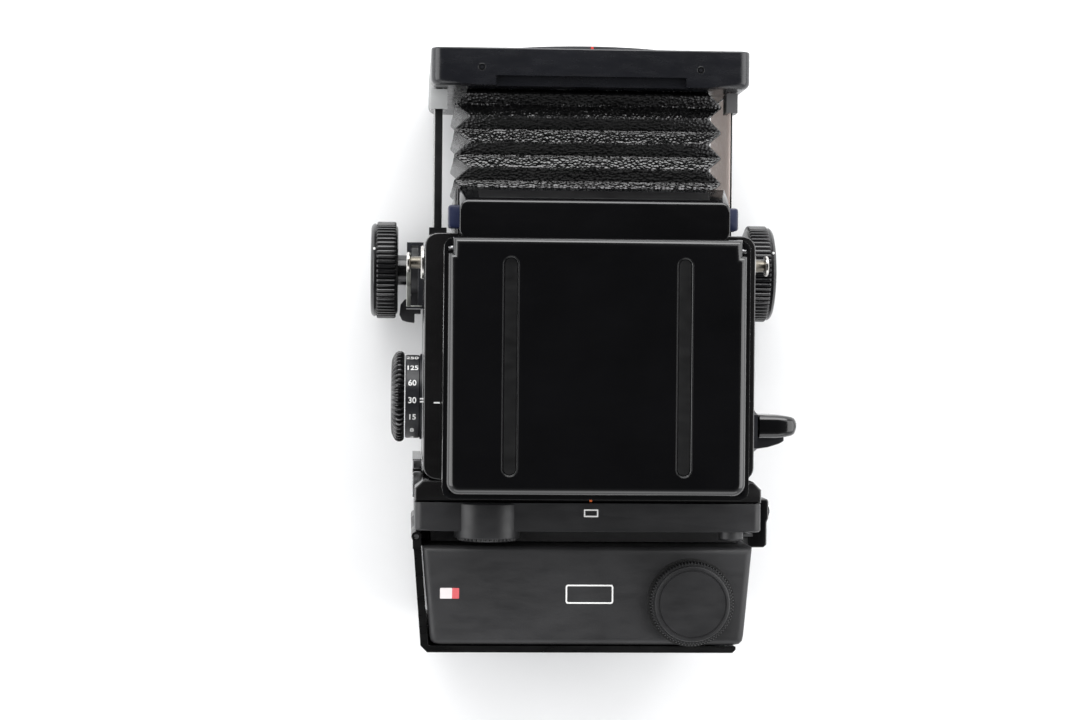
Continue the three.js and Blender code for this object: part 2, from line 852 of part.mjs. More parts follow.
// ---------- Front standard ----------
function frontPlate() {
  const outline = roundedRectangle(
    [-standardSide, standardSide],
    [standardBelow, standardTop],
    standardCorner,
  );
  const throat = alongY(circle(0, lensZ, throatRadius, 48), standardRear - past, standardFront + past);
  const recess = block(
    [-openingSide, openingSide],
    [standardRear - past, standardRear + bellowsTuck],
    [openingBottom, openingTop],
  );
  const notch = block(
    [-standardNotch.halfWidth, standardNotch.halfWidth],
    [standardRear - past, standardRear + standardNotch.depth],
    [standardTop - standardNotch.height, standardTop + past],
  );
  return cut(alongY(outline, standardRear, standardFront), throat, recess, notch);
}

function lensMountRing() {
  const ring = circle(0, lensZ, mountRadius, 48);
  const y0 = standardFront + gap;
  return cut(
    alongY(ring, y0, y0 + mountHeight),
    alongY(circle(0, lensZ, throatRadius, 48), y0 - past, y0 + mountHeight + past),
  );
}

// An eight-sided section of the bellows.
function bellowsSection(y, halfWidth, halfHeight) {
  const c = bellowsCorner;
  const w = halfWidth;
  const h = halfHeight;
  const corners = [
    [w, -h + c],
    [w, h - c],
    [w - c, h],
    [-w + c, h],
    [-w, h - c],
    [-w, -h + c],
    [-w + c, -h],
    [w - c, -h],
  ];
  return corners.map(([x, z]) => [x, y, bellowsZ + z]);
}

function bellows() {
  const w = collarHalfWidth;
  const h = collarHalfHeight;
  const pitch = bellowsSpan / pleatCount;
  const sizes = [
    [noseFront - bellowsTuck, w, h],
    [noseFront, w, h],
  ];
  for (let i = 0; i < pleatCount; i++) {
    sizes.push([noseFront + pitch * (i + valleyPhase), w + pleatDepth, h]);
    sizes.push([noseFront + pitch * (i + ridgePhase), w, h + pleatDepth]);
  }
  sizes.push([standardRear, w, h], [standardRear + bellowsTuck - gap, w, h]);
  const outside = sizes.map(([y, a, b]) => bellowsSection(y, a, b));
  const inside = sizes.map(([y, a, b]) => bellowsSection(y, a - bellowsSkin, b - bellowsSkin));
  return looped([...outside, ...inside.reverse()]);
}

function rackRail(sign) {
  return block(
    [sign * railX - railWidth / 2, sign * railX + railWidth / 2],
    [shaftY - travelOut - railTail, standardRear - gap],
    [railBottom, railTop],
  );
}

function scalePlate([x0, x1]) {
  return block([x0, x1], [bodyFront - plateTail, standardRear - gap], [plateBottom, plateTop]);
}

// A clip that holds the top of a scale plate to the back of the front plate.
function plateBracket([x0, x1]) {
  const y0 = standardRear - gap - bracketDepth;
  const z1 = plateTop + gap + bracketWall;
  const outer = block(
    [x0 - gap - bracketWall, x1 + gap + bracketWall],
    [y0, standardRear - gap],
    [z1 - bracketHeight, z1],
  );
  const room = block(
    [x0 - gap, x1 + gap],
    [y0 - past, standardRear + past],
    [z1 - bracketHeight - past, plateTop + gap],
  );
  return cut(outer, room);
}

// A block on the body's front face that steadies the left scale plate.
function plateGuide([x0, x1]) {
  const outer = block(
    [x0 - slip - bracketWall, x1 + slip + bracketWall],
    [bodyFront + gap, bodyFront + gap + guideDepth],
    [plateTop - bracketHeight, plateTop + slip + bracketWall],
  );
  const room = block(
    [x0 - slip, x1 + slip],
    [bodyFront - past, bodyFront + guideDepth + past],
    [plateTop - bracketHeight - past, plateTop + slip],
  );
  return cut(outer, room);
}

// ---------- Focusing drive ----------
function focusShaft() {
  const half = side + knobStandOff + knobBore;
  const shaft = alongX(circle(shaftY, shaftZ, shaftRadius, 20), -half + gap, half - gap);
  const pinions = [-railX, railX].map((x) =>
    alongX(circle(shaftY, shaftZ, pinionRadius, 28), x - pinionWidth / 2, x + pinionWidth / 2),
  );
  return join(shaft, ...pinions);
}

function focusKnob(sign) {
  const inner = side + knobStandOff;
  const knob = turned([
    [shaftRadius + gap, inner - knobHubLength],
    [knobHubRadius, inner - knobHubLength],
    [knobHubRadius, inner],
    [knobRadius - knobInnerChamfer, inner],
    [knobRadius, inner + knobInnerChamfer],
    [knobRadius, inner + knobThickness - knobOuterChamfer],
    [knobRadius - knobOuterChamfer, inner + knobThickness],
    [0, inner + knobThickness],
    [0, inner + knobBore],
    [shaftRadius + gap, inner + knobBore],
  ], 40);
  return knob.rotate([0, sign * 90, 0]).translate([0, shaftY, shaftZ]);
}

// A ring round the shaft beside the left knob, with a thumb tab behind it.
function focusLock() {
  const outerX = -(side + gap);
  const ring = alongX(circle(shaftY, shaftZ, lockRingRadius, 24), outerX - lockRingWidth, outerX);
  const tab = block(
    [outerX - lockRingWidth - lockTab.reach, outerX - lockTab.clear],
    [shaftY - lockTab.outer, shaftY - lockRingRadius + lockTab.rootLap],
    [shaftZ - lockTab.width / 2, shaftZ + lockTab.width / 2],
  );
  const farOut = -(side + knobStandOff + knobThickness);
  const bore = alongX(circle(shaftY, shaftZ, shaftRadius + slip, 24), farOut, outerX + past);
  const hubRoom = alongX(
    circle(shaftY, shaftZ, knobHubRadius + slip, 24),
    -(side + knobStandOff),
    -(side + knobStandOff - knobHubLength) + slip,
  );
  const knobRoom = alongX(
    circle(shaftY, shaftZ, knobRadius + slip, 24),
    farOut,
    -(side + knobStandOff) + slip,
  );
  return cut(join(ring, tab), bore, hubRoom, knobRoom);
}

// ---------- Controls ----------
function dialDisc(radius, from, length, chamfer) {
  const disc = turnedSolid([
    [0, from],
    [radius, from],
    [radius, from + length - chamfer],
    [radius - chamfer, from + length],
    [0, from + length],
  ], 36);
  const y = bodyRear + dialFromRear;
  return disc.rotate([0, -90, 0]).translate([-side, y, bodyHeight - dialBelowTop]);
}

function leverY() {
  return bodyRear + leverFromRear;
}

function cockingArm() {
  const x0 = side + gap;
  const x1 = x0 + leverHubLength;
  const hub = alongX(circle(leverY(), leverZ, leverHubRadius, 32), x0, x1);
  const arm = alongX(
    polygon([
      [leverY() - leverHubRadius + leverArmInset, leverZ],
      [leverY() + leverHubRadius - leverArmInset, leverZ],
      [leverY() + leverArmHalf, leverZ + leverArmTop],
      [leverY() - leverArmHalf, leverZ + leverArmTop],
    ]),
    x0,
    x1,
  );
  return join(hub, arm);
}

function cockingGrip() {
  const x0 = side + gap + leverHubLength + gap;
  const y = leverY() + leverArmHalf;
  const z1 = leverZ + leverArmTop;
  return alongX(
    roundedRectangle([y - leverGripThickness, y], [z1 - leverGripHeight, z1], leverGripCorner),
    x0,
    x0 + leverGripProud,
  );
}

function shutterButton() {
  return alongY(
    circle(side - shutterInset, shutterZ, shutterRadius, 20),
    bodyFront - bodyWall,
    bodyFront + shutterProud,
  );
}

function releaseCollar() {
  const x = side - shutterInset;
  const y0 = bodyFront + gap;
  const ring = alongY(circle(x, shutterZ, collarRadius, 24), y0, y0 + collarProud);
  const tab = block(
    [x - collarTabHalf, x + collarTabHalf],
    [y0, y0 + collarProud],
    [shutterZ - collarRadius - collarTab, shutterZ - collarRadius + past],
  );
  const bore = alongY(circle(x, shutterZ, shutterRadius + slip, 24), y0 - past, y0 + collarProud + past);
  return cut(join(ring, tab), bore);
}

// ---------- Revolving back ----------
function adapterPlate() {
  const half = bodyHeight / 2;
  const outline = roundedRectangle([-backSide, backSide], [lensZ - half, lensZ + half], adapterCorner);
  const boss = alongY(circle(bossX, bossZ, bossRadius), adapterRear, adapterFront - bossSetback);
  const window = block(
    [-backWindow / 2, backWindow / 2],
    [adapterRear - past, adapterFront + past],
    [lensZ - backWindow / 2, lensZ + backWindow / 2],
  );
  return cut(join(alongY(outline, adapterRear, adapterFront), boss), window);
}

function holderDial() {
  const front = adapterRear - gap;
  return alongY(circle(bossX, bossZ, bossRadius - dialLip), front - holderDialDepth, front);
}

function slideFrame() {
  const outer = block(
    [-slideFrameHalfWidth, slideFrameHalfWidth],
    [slideFrameRear, slideFrameFront],
    [lensZ - slideFrameBelow, slideFrameTop],
  );
  const window = block(
    [-gateWidth / 2, gateWidth / 2],
    [slideFrameRear - past, slideFrameFront + past],
    [lensZ - gateHeight / 2, lensZ + gateHeight / 2],
  );
  const slot = block(
    [-slideFrameHalfWidth + bladeEndInset - slip, slideFrameHalfWidth + past],
    [bladeY - bladeThickness / 2 - slip, bladeY + bladeThickness / 2 + slip],
    [lensZ - bladeHalfHeight - slip, lensZ + bladeHalfHeight + slip],
  );
  return cut(outer, window, slot);
}

function darkSlideBlade() {
  return block(
    [-slideFrameHalfWidth + bladeEndInset, gripX - gap],
    [bladeY - bladeThickness / 2, bladeY + bladeThickness / 2],
    [lensZ - bladeHalfHeight, lensZ + bladeHalfHeight],
  );
}

function darkSlideGrip() {
  const z = [lensZ - gripHalfHeight, lensZ + gripHalfHeight];
  const outer = gripX + gripStandOff + gripThickness;
  const footFront = bladeY + gripFootDepth / 2;
  const foot = block([gripX, outer], [footFront - gripFootDepth, footFront], z);
  const head = block([outer - gripThickness, outer], [footFront - gripLap, footFront + gripHeadDepth], z);
  return join(foot, head);
}

function darkSlideLoop() {
  const x0 = gripX + gripStandOff + gripThickness + gap;
  const footFront = bladeY + gripFootDepth / 2;
  const y0 = footFront + loopMargin;
  const y1 = footFront + gripHeadDepth - loopMargin;
  const outer = block([x0, x0 + loopReach], [y0, y1], [loopZ - loopWire, loopZ + loopWire]);
  const inner = block(
    [x0 - past, x0 + loopReach - 2 * loopWire],
    [y0 + 2 * loopWire, y1 - 2 * loopWire],
    [loopZ - loopCut, loopZ + loopCut],
  );
  return cut(outer, inner);
}

// ---------- Film holder ----------
function holderOutline(inset, front, rear, corner) {
  const a = holderSide - inset;
  const b = holderSide - holderTaper - inset;
  const shape = new THREE.Shape();
  shape.moveTo(-a, front);
  shape.lineTo(-b, rear + corner);
  shape.quadraticCurveTo(-b, rear, -b + corner, rear);
  shape.lineTo(b - corner, rear);
  shape.quadraticCurveTo(b, rear, b, rear + corner);
  shape.lineTo(a, front);
  shape.closePath();
  return shape;
}

function holderShell() {
  const outer = alongZ(holderOutline(0, holderFront, holderRear, holderCorner), holderBelow, holderTop);
  const room = alongZ(
    holderOutline(holderWall, holderFront - holderWall, holderRear - past, holderRoomCorner),
    holderBelow + holderWall,
    holderTop - holderWall,
  );
  const gate = block(
    [-gateWidth / 2, gateWidth / 2],
    [holderFront - holderWall - past, holderFront + past],
    [lensZ - gateHeight / 2, lensZ + gateHeight / 2],
  );
  const shaftHole = alongZ(
    circle(spoolX, spoolY, advanceShaftRadius + slip),
    holderTop - holderWall - past,
    holderTop + past,
  );
  const middle = [lensZ - doorKnuckleMiddle / 2, lensZ + doorKnuckleMiddle / 2];
  const knuckle = alongZ(circle(doorPinX, doorPinY, doorKnuckleRadius, 16), ...middle);
  const lug = block(
    [doorPinX - doorKnuckleRadius * doorNeck.back, -slideFrameHalfWidth - gap],
    [holderFront - holderWall, doorPinY],
    middle,
  );
  const pin = circle(doorPinX, doorPinY, doorPinRadius + gap, 16);
  const pinHole = alongZ(pin, middle[0] - past, middle[1] + past);
  return cut(join(cut(outer, room), knuckle, cut(lug, room)), gate, shaftHole, pinHole);
}

function doorPin() {
  return alongZ(
    circle(doorPinX, doorPinY, doorPinRadius, 12),
    holderBelow + doorMargin,
    holderTop - doorMargin,
  );
}

function backDoor() {
  const frontX = -holderSide - gap;
  const rearX = frontX + holderTaper;
  const rearY = holderRear - gap;
  const right = holderSide - doorRightStop;
  const outline = polygon([
    [frontX - doorThickness, holderFront + slip],
    [rearX - doorThickness, rearY - doorRearThickness + doorHingeCorner],
    [rearX - doorThickness + doorHingeCorner, rearY - doorRearThickness],
    [right - doorFreeCorner, rearY - doorRearThickness],
    [right, rearY - doorRearThickness + doorFreeCorner],
    [right, rearY],
    [rearX, rearY],
    [frontX, holderFront + slip],
  ]);
  const z = [holderBelow + doorMargin, holderTop - doorMargin];
  const knuckle = alongZ(circle(doorPinX, doorPinY, doorKnuckleRadius, 16), ...z);
  const neck = block(
    [doorPinX - doorKnuckleRadius * doorNeck.out, frontX],
    [holderFront - doorNeck.lap, doorPinY - doorKnuckleRadius * doorNeck.back],
    z,
  );
  const shellKnuckleRoom = block(
    [frontX - doorThickness - knuckleRoom, frontX + knuckleRoom],
    [holderFront - holderWall - slip, adapterRear],
    [lensZ - doorKnuckleMiddle / 2 - slip, lensZ + doorKnuckleMiddle / 2 + slip],
  );
  const pinHole = alongZ(circle(doorPinX, doorPinY, doorPinRadius + gap, 16), z[0] - past, z[1] + past);
  return cut(join(alongZ(outline, ...z), knuckle, neck), shellKnuckleRoom, pinHole);
}

function filmInsert() {
  const front = holderFront - holderWall - gap;
  const rear = holderRear + insertFromRear;
  const plateAt = (z) => block([-insertHalfWidth, insertHalfWidth], [rear, front], [z, z + insertPlate]);
  const lower = plateAt(spoolBottom - gap - insertPlate);
  const upper = plateAt(spoolTop + gap);
  const pillar = block(
    [-insertPillarHalf, insertPillarHalf],
    [rear, front - pressurePlateThickness - 2 * gap],
    [spoolBottom - past, spoolTop + past],
  );
  const pin = (x, z) => alongZ(circle(x, spoolY, spoolPinRadius, 16), z, z + spoolPinLength + past);
  const shaftHole = alongZ(
    circle(spoolX, spoolY, advanceShaftRadius + slip, 24),
    spoolTop - past,
    spoolTop + gap + insertPlate + past,
  );
  const body = join(
    lower,
    upper,
    pillar,
    pin(spoolX, spoolBottom - gap - past),
    pin(-spoolX, spoolBottom - gap - past),
    pin(-spoolX, spoolTop + gap - spoolPinLength),
  );
  return cut(body, shaftHole);
}

function pressurePlate() {
  const front = holderFront - holderWall - gap;
  const half = gateWidth / 2 + pressurePlateMargin;
  const tall = gateHeight / 2 + pressurePlateMargin;
  return block([-half, half], [front - pressurePlateThickness, front], [lensZ - tall, lensZ + tall]);
}

function filmRoller(sign) {
  const y = holderFront - holderWall - gap - rollerRadius - slip;
  return alongZ(circle(sign * rollerX, y, rollerRadius, 16), spoolBottom, spoolTop);
}

function spool(x) {
  return turned([
    [spoolBore, spoolBottom],
    [spoolFlangeRadius, spoolBottom],
    [spoolFlangeRadius, spoolBottom + spoolFlangeThickness],
    [spoolCoreRadius, spoolBottom + spoolFlangeThickness],
    [spoolCoreRadius, spoolTop - spoolFlangeThickness],
    [spoolFlangeRadius, spoolTop - spoolFlangeThickness],
    [spoolFlangeRadius, spoolTop],
    [spoolBore, spoolTop],
  ], 24).translate([x, spoolY, 0]);
}

function advanceKnob() {
  const z0 = holderTop + gap;
  const knob = turnedSolid([
    [0, spoolTop + gap],
    [advanceShaftRadius, spoolTop + gap],
    [advanceShaftRadius, z0],
    [advanceKnobRadius, z0],
    [advanceKnobRadius, z0 + advanceKnobHeight - advanceChamfer.side],
    [advanceKnobRadius - advanceChamfer.top, z0 + advanceKnobHeight],
    [0, z0 + advanceKnobHeight],
  ], 40);
  return knob.translate([spoolX, spoolY, 0]);
}

// ---------- Assembly ----------
const [leftPlate, rightPlate] = scalePlateSpans();
const camera = new THREE.Group();

const body = new THREE.Group();
body.add(
  mesh("body_shell", bodyShell(), satinBlack),
  mesh("base_plate", basePlate(), matteBlack),
  mesh("tripod_bush", tripodBush(), steel),
  mesh("top_front_housing", topFrontHousing(), satinBlack),
  mesh("rear_frame", rearFrame(), matteBlack),
  mesh("focusing_screen", focusingScreen(), clearGlass),
  mesh("screen_frame", screenFrame(), steel),
  mesh("accessory_shoe", accessoryShoe(), satinBlack),
  mesh("strap_lug_left", strapLug(-1), chrome),
  mesh("strap_lug_right", strapLug(1), chrome),
  mesh("plate_guide_left", plateGuide(leftPlate), satinBlack),
  mesh("battery", battery(), steel),
  mesh("battery_cover", batteryCover(), matteBlack),
  mesh("hood_base", hoodBase(), satinBlack),
  mesh("hood_side_panel_left", hoodSidePanel(-1), matteBlack),
  mesh("hood_side_panel_right", hoodSidePanel(1), matteBlack),
  mesh("hood_rear_panel", hoodRearPanel(), matteBlack),
  mesh("hood_hinge_pin", hoodHingePin(), steel),
);

const standard = new THREE.Group();
standard.add(
  mesh("front_plate", frontPlate(), satinBlack),
  mesh("lens_mount_ring", lensMountRing(), chrome),
  mesh("bellows", bellows(), leatherBlack),
  mesh("rack_rail_left", rackRail(-1), steel),
  mesh("rack_rail_right", rackRail(1), steel),
  mesh("scale_plate_left", scalePlate(leftPlate), satinBlack),
  mesh("scale_plate_right", scalePlate(rightPlate), printedPlate),
  mesh("plate_bracket_left", plateBracket(leftPlate), greyPlastic),
  mesh("plate_bracket_right", plateBracket(rightPlate), greyPlastic),
);

const drive = new THREE.Group();
drive.add(
  mesh("focus_shaft", focusShaft(), steel),
  mesh("focus_knob_left", focusKnob(-1), matteBlack),
  mesh("focus_knob_right", focusKnob(1), matteBlack),
  mesh("focus_lock_lever", focusLock(), satinBlack),
);

const finder = new THREE.Group();
finder.add(
  mesh("hood_lid", hoodLid(), glossBlack),
  mesh("magnifier_frame", magnifierFrame(), matteBlack),
  mesh("magnifier_lens", magnifierLens(), clearGlass),
  mesh("finder_button_left", finderButton(-1), navyPlastic),
  mesh("finder_button_right", finderButton(1), navyPlastic),
);

const mirror = new THREE.Group();
mirror.add(
  mesh("mirror_frame", mirrorFrame(), innerBlack),
  mesh("mirror_glass", mirrorGlass(), mirrorSilver),
);

const controls = new THREE.Group();
controls.add(
  mesh("cocking_lever_arm", cockingArm(), satinBlack),
  mesh("cocking_lever_grip", cockingGrip(), satinBlack),
  mesh("speed_dial_ring", dialDisc(dialRingRadius, gap, dialRingLength, 0.3), satinBlack),
  mesh("speed_dial_cap", dialDisc(dialRadius, 2 * gap + dialRingLength, dialCapLength, 1.6), matteBlack),
  mesh("shutter_button", shutterButton(), chrome),
  mesh("release_collar", releaseCollar(), matteBlack),
);

const back = new THREE.Group();
back.add(
  mesh("adapter_plate", adapterPlate(), matteBlack),
  mesh("holder_dial", holderDial(), matteBlack),
  mesh("slide_frame", slideFrame(), innerBlack),
  mesh("dark_slide_blade", darkSlideBlade(), steel),
  mesh("dark_slide_grip", darkSlideGrip(), satinBlack),
  mesh("dark_slide_loop", darkSlideLoop(), chrome),
  mesh("holder_shell", holderShell(), matteBlack),
  mesh("film_insert", filmInsert(), innerBlack),
  mesh("pressure_plate", pressurePlate(), steel),
  mesh("film_roller_left", filmRoller(-1), steel),
  mesh("film_roller_right", filmRoller(1), steel),
  mesh("advance_knob", advanceKnob(), matteBlack),
  mesh("take_up_spool", spool(spoolX), innerBlack),
  mesh("supply_spool", spool(-spoolX), innerBlack),
  mesh("back_door", backDoor(), matteBlack),
  mesh("back_door_pin", doorPin(), steel),
);

camera.add(body, standard, drive, finder, mirror, controls, back);
export default camera;
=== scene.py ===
"""A medium-format bellows camera, its hood folded and no lens fitted, seen from straight above."""

import math

import bmesh
import bpy
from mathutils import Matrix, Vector


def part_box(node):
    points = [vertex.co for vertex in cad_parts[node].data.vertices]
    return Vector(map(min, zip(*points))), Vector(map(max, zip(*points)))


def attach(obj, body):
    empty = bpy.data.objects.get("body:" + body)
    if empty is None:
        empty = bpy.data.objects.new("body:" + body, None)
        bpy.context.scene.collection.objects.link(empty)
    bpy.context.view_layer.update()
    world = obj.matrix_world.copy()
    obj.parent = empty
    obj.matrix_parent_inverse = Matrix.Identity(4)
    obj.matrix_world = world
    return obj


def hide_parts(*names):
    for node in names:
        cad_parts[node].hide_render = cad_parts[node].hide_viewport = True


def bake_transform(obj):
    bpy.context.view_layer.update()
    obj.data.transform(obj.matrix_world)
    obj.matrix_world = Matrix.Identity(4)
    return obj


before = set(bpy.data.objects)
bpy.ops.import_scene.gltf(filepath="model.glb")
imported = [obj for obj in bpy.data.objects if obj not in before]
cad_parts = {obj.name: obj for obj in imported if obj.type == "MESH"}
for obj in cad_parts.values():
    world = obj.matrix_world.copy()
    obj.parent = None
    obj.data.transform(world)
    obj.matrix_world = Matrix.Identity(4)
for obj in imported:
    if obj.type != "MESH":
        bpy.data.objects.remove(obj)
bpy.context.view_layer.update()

MM = 0.001
TURN = 2 * math.pi
SHARP = math.radians(40)  # edges at a wider angle than this are rounded
scene = bpy.context.scene
scene.view_settings.view_transform = "Standard"


# ---------- Camera ----------
lens = bpy.data.cameras.new("camera")
lens.lens = 80
lens.sensor_width = 36
lens.clip_start, lens.clip_end = 0.05, 20
camera = bpy.data.objects.new("camera", lens)
camera.location = (-0.0548, 0.0042, 0.820)
camera.rotation_euler = [math.radians(a) for a in (-0.22, -3.18, 0.53)]
scene.collection.objects.link(camera)
scene.camera = camera


# ---------- Floor and light ----------
def light(name, place, aim, size, power, mirrored=True):
    """A softbox; one that isn't mirrored brightens surfaces without a reflection of its own."""
    lamp = bpy.data.lights.new(name, "AREA")
    lamp.shape = "RECTANGLE"
    lamp.size, lamp.size_y = size
    lamp.energy = power
    holder = bpy.data.objects.new(name, lamp)
    holder.location = place
    holder.rotation_euler = (Vector(aim) - Vector(place)).to_track_quat("-Z", "Y").to_euler()
    holder.visible_glossy = mirrored
    scene.collection.objects.link(holder)


def pale_room():
    """A room that is bright round its walls and dark straight overhead."""
    world = bpy.data.worlds.new("studio")
    world.use_nodes = True
    nodes, link = world.node_tree.nodes, world.node_tree.links.new
    height = nodes.new("ShaderNodeSeparateXYZ")
    walls = nodes.new("ShaderNodeValToRGB")
    stops = walls.color_ramp.elements
    for sine, value in ((0.0, 1.0), (0.35, 1.0), (0.66, 0.42), (0.86, 0.10), (0.96, 0.03)):
        stop = stops[0] if sine == 0.0 else stops.new(sine)
        stop.position, stop.color = sine, (value * 0.97, value * 0.98, value, 1)
    stops.remove(stops[-1])
    link(nodes.new("ShaderNodeTexCoord").outputs["Generated"], height.inputs[0])
    link(height.outputs["Z"], walls.inputs["Fac"])
    link(walls.outputs["Color"], nodes["Background"].inputs["Color"])
    nodes["Background"].inputs["Strength"].default_value = 1.0
    scene.world = world


pale_room()
light("front_softbox", (0, 1.7, 1.1), (0, 0.05, 0), (2.6, 1.5), 52)
light("left_softbox", (-1.5, 0.1, 1.0), (0, 0, 0), (1.8, 1.5), 18)
light("right_softbox", (1.5, 0.1, 1.0), (0, 0, 0), (1.8, 1.5), 18)
light("overhead_fill", (0, 0.5, 1.8), (0, 0, 0), (3.4, 3.4), 36, mirrored=False)
light("rear_softbox", (0, -1.6, 0.9), (0, 0, 0), (2.0, 0.8), 5)


# ---------- Materials ----------
class Look:
    """A Principled material whose textures live in the object's own space, in metres."""

    def __init__(self, name, roughness, metallic=0.0, specular=0.5):
        self.material = bpy.data.materials.new(name)
        self.material.use_nodes = True
        self.tree = self.material.node_tree
        self.shader = self.tree.nodes["Principled BSDF"]
        self.shader.inputs["Roughness"].default_value = roughness
        self.shader.inputs["Metallic"].default_value = metallic
        self.shader.inputs["Specular IOR Level"].default_value = specular
        self.place = self.tree.nodes.new("ShaderNodeTexCoord").outputs["Object"]
        self.normal = None

    def node(self, kind):
        return self.tree.nodes.new(kind)

    def link(self, source, target):
        self.tree.links.new(source, target)
        return self

    def noise(self, scale, detail=3.0, stretch=None):
        made = self.node("ShaderNodeTexNoise")
        made.inputs["Scale"].default_value = scale
        made.inputs["Detail"].default_value = detail
        place = self.place
        if stretch:
            mapping = self.node("ShaderNodeMapping")
            mapping.inputs["Scale"].default_value = stretch
            self.link(place, mapping.inputs["Vector"])
            place = mapping.outputs["Vector"]
        self.link(place, made.inputs["Vector"])
        return made.outputs["Fac"]

    def cells(self, scale):
        made = self.node("ShaderNodeTexVoronoi")
        made.inputs["Scale"].default_value = scale
        self.link(self.place, made.inputs["Vector"])
        return made.outputs["Distance"]

    def ramp(self, source, *stops):
        made = self.node("ShaderNodeValToRGB")
        ramp = made.color_ramp
        while len(ramp.elements) < len(stops):
            ramp.elements.new(0.5)
        for element, (position, value) in zip(ramp.elements, stops):
            element.position = position
            element.color = (*value, 1) if isinstance(value, tuple) else (value, value, value, 1)
        self.link(source, made.inputs["Fac"])
        return made.outputs["Color"]

    def colour(self, source):
        return self.link(source, self.shader.inputs["Base Color"])

    def rough(self, source):
        return self.link(source, self.shader.inputs["Roughness"])

    # Painted light: an emission that makes a surface look lit though it is no lamp.
    def painted_glow(self, colour, strength):
        self.shader.inputs["Emission Color"].default_value = (*colour, 1)
        self.shader.inputs["Emission Strength"].default_value = strength

    def bump(self, height, strength, distance):
        made = self.node("ShaderNodeBump")
        made.inputs["Strength"].default_value = strength
        made.inputs["Distance"].default_value = distance
        self.link(height, made.inputs["Height"])
        if self.normal:
            self.link(self.normal, made.inputs["Normal"])
        self.normal = made.outputs["Normal"]
        self.link(self.normal, self.shader.inputs["Normal"])
        return self


def shade(colour, factor):
    return tuple(min(1.0, c * factor) for c in colour)


def painted(name, colour, roughness, grain=1500, relief=0.15, mottle=0.25, specular=0.5, painted_glow=None):
    """Paint or moulded plastic: cloudy colour and gloss, and a fine skin; the optional emission colour and
    strength is painted light, a surface shining where no lamp lights it.
    """
    look = Look(name, roughness, specular=specular)
    if painted_glow:
        look.painted_glow(*painted_glow)
    cloud = look.noise(45, 4)
    look.colour(look.ramp(cloud, (0.3, shade(colour, 1 - mottle)), (0.7, shade(colour, 1 + mottle))))
    smear = look.noise(140, 5, (1, 3, 1))
    look.rough(look.ramp(smear, (0.3, roughness * 0.85), (0.7, roughness * 1.15)))
    look.bump(look.noise(grain, 2), relief, 0.05 * MM)
    return look.material


def metal(name, colour, roughness, grain=(1, 1, 25), relief=0.1):
    """Machined or plated metal with fine drawn lines."""
    look = Look(name, roughness, metallic=1.0)
    cloud = look.noise(60, 4)
    look.colour(look.ramp(cloud, (0.3, shade(colour, 0.88)), (0.7, shade(colour, 1.06))))
    lines = look.noise(500, 3, grain)
    look.rough(look.ramp(lines, (0.3, roughness * 0.7), (0.7, roughness * 1.4)))
    look.bump(lines, relief, 0.02 * MM)
    return look.material


def leather(name, colour, roughness, cell, relief, wave, specular):
    """Embossed leather: cushion-like cells between fine creases, over a slow waviness."""
    look = Look(name, roughness, specular=specular)
    cells = look.cells(cell)
    look.colour(look.ramp(cells, (0.1, shade(colour, 1.5)), (0.7, shade(colour, 0.5))))
    look.rough(look.ramp(look.noise(300, 4), (0.3, roughness * 0.75), (0.7, roughness * 1.25)))
    look.bump(cells, relief, 0.35 * MM)
    look.bump(look.noise(3 * cell, 3), 0.4 * relief, 0.1 * MM)
    look.bump(look.noise(90, 2), wave, 0.6 * MM)
    return look.material


def glass(name, colour, roughness):
    look = Look(name, roughness)
    look.shader.inputs["Transmission Weight"].default_value = 0.9
    look.shader.inputs["IOR"].default_value = 1.5
    look.colour(look.ramp(look.noise(80, 3), (0.3, shade(colour, 0.95)), (0.7, colour)))
    look.bump(look.noise(4000, 2), 0.05, 0.01 * MM)
    return look.material


gloss_black = painted("gloss_black", (0.0020, 0.0020, 0.0023), 0.14, grain=900, relief=0.02, specular=0.8)
satin_black = painted("satin_black", (0.009, 0.0095, 0.012), 0.36, grain=2600, relief=0.2)
body_black = painted("body_black", (0.0045, 0.0043, 0.0045), 0.2, grain=2600, relief=0.01, specular=0.9)
matte_black = painted("matte_black", (0.03, 0.03, 0.031), 0.62, grain=3200, relief=0.5)
back_plastic = painted("back_plastic", (0.0165, 0.0165, 0.0175), 0.5, grain=3600, relief=0.5)
door_black = painted("door_black", (0.0016, 0.0016, 0.0017), 0.3, grain=3400, relief=0.15)
adapter_black = painted("adapter_black", (0.0150, 0.0150, 0.0160), 0.40, grain=3400, relief=0.3)
moulded_black = painted("moulded_black", (0.016, 0.016, 0.018), 0.42, grain=3000, relief=0.3)
inner_black = painted("inner_black", (0.006, 0.006, 0.006), 0.85, grain=2000, relief=0.6)
navy_plastic = painted("navy_plastic", (0.006, 0.010, 0.036), 0.36, grain=2600, relief=0.2)
white_paint = painted("white_paint", (0.75, 0.75, 0.74), 0.5, mottle=0.06)
orange_paint = painted("orange_paint", (0.75, 0.14, 0.02), 0.45, mottle=0.1)
red_paint = painted("red_paint", (0.6, 0.03, 0.02), 0.4, mottle=0.1)
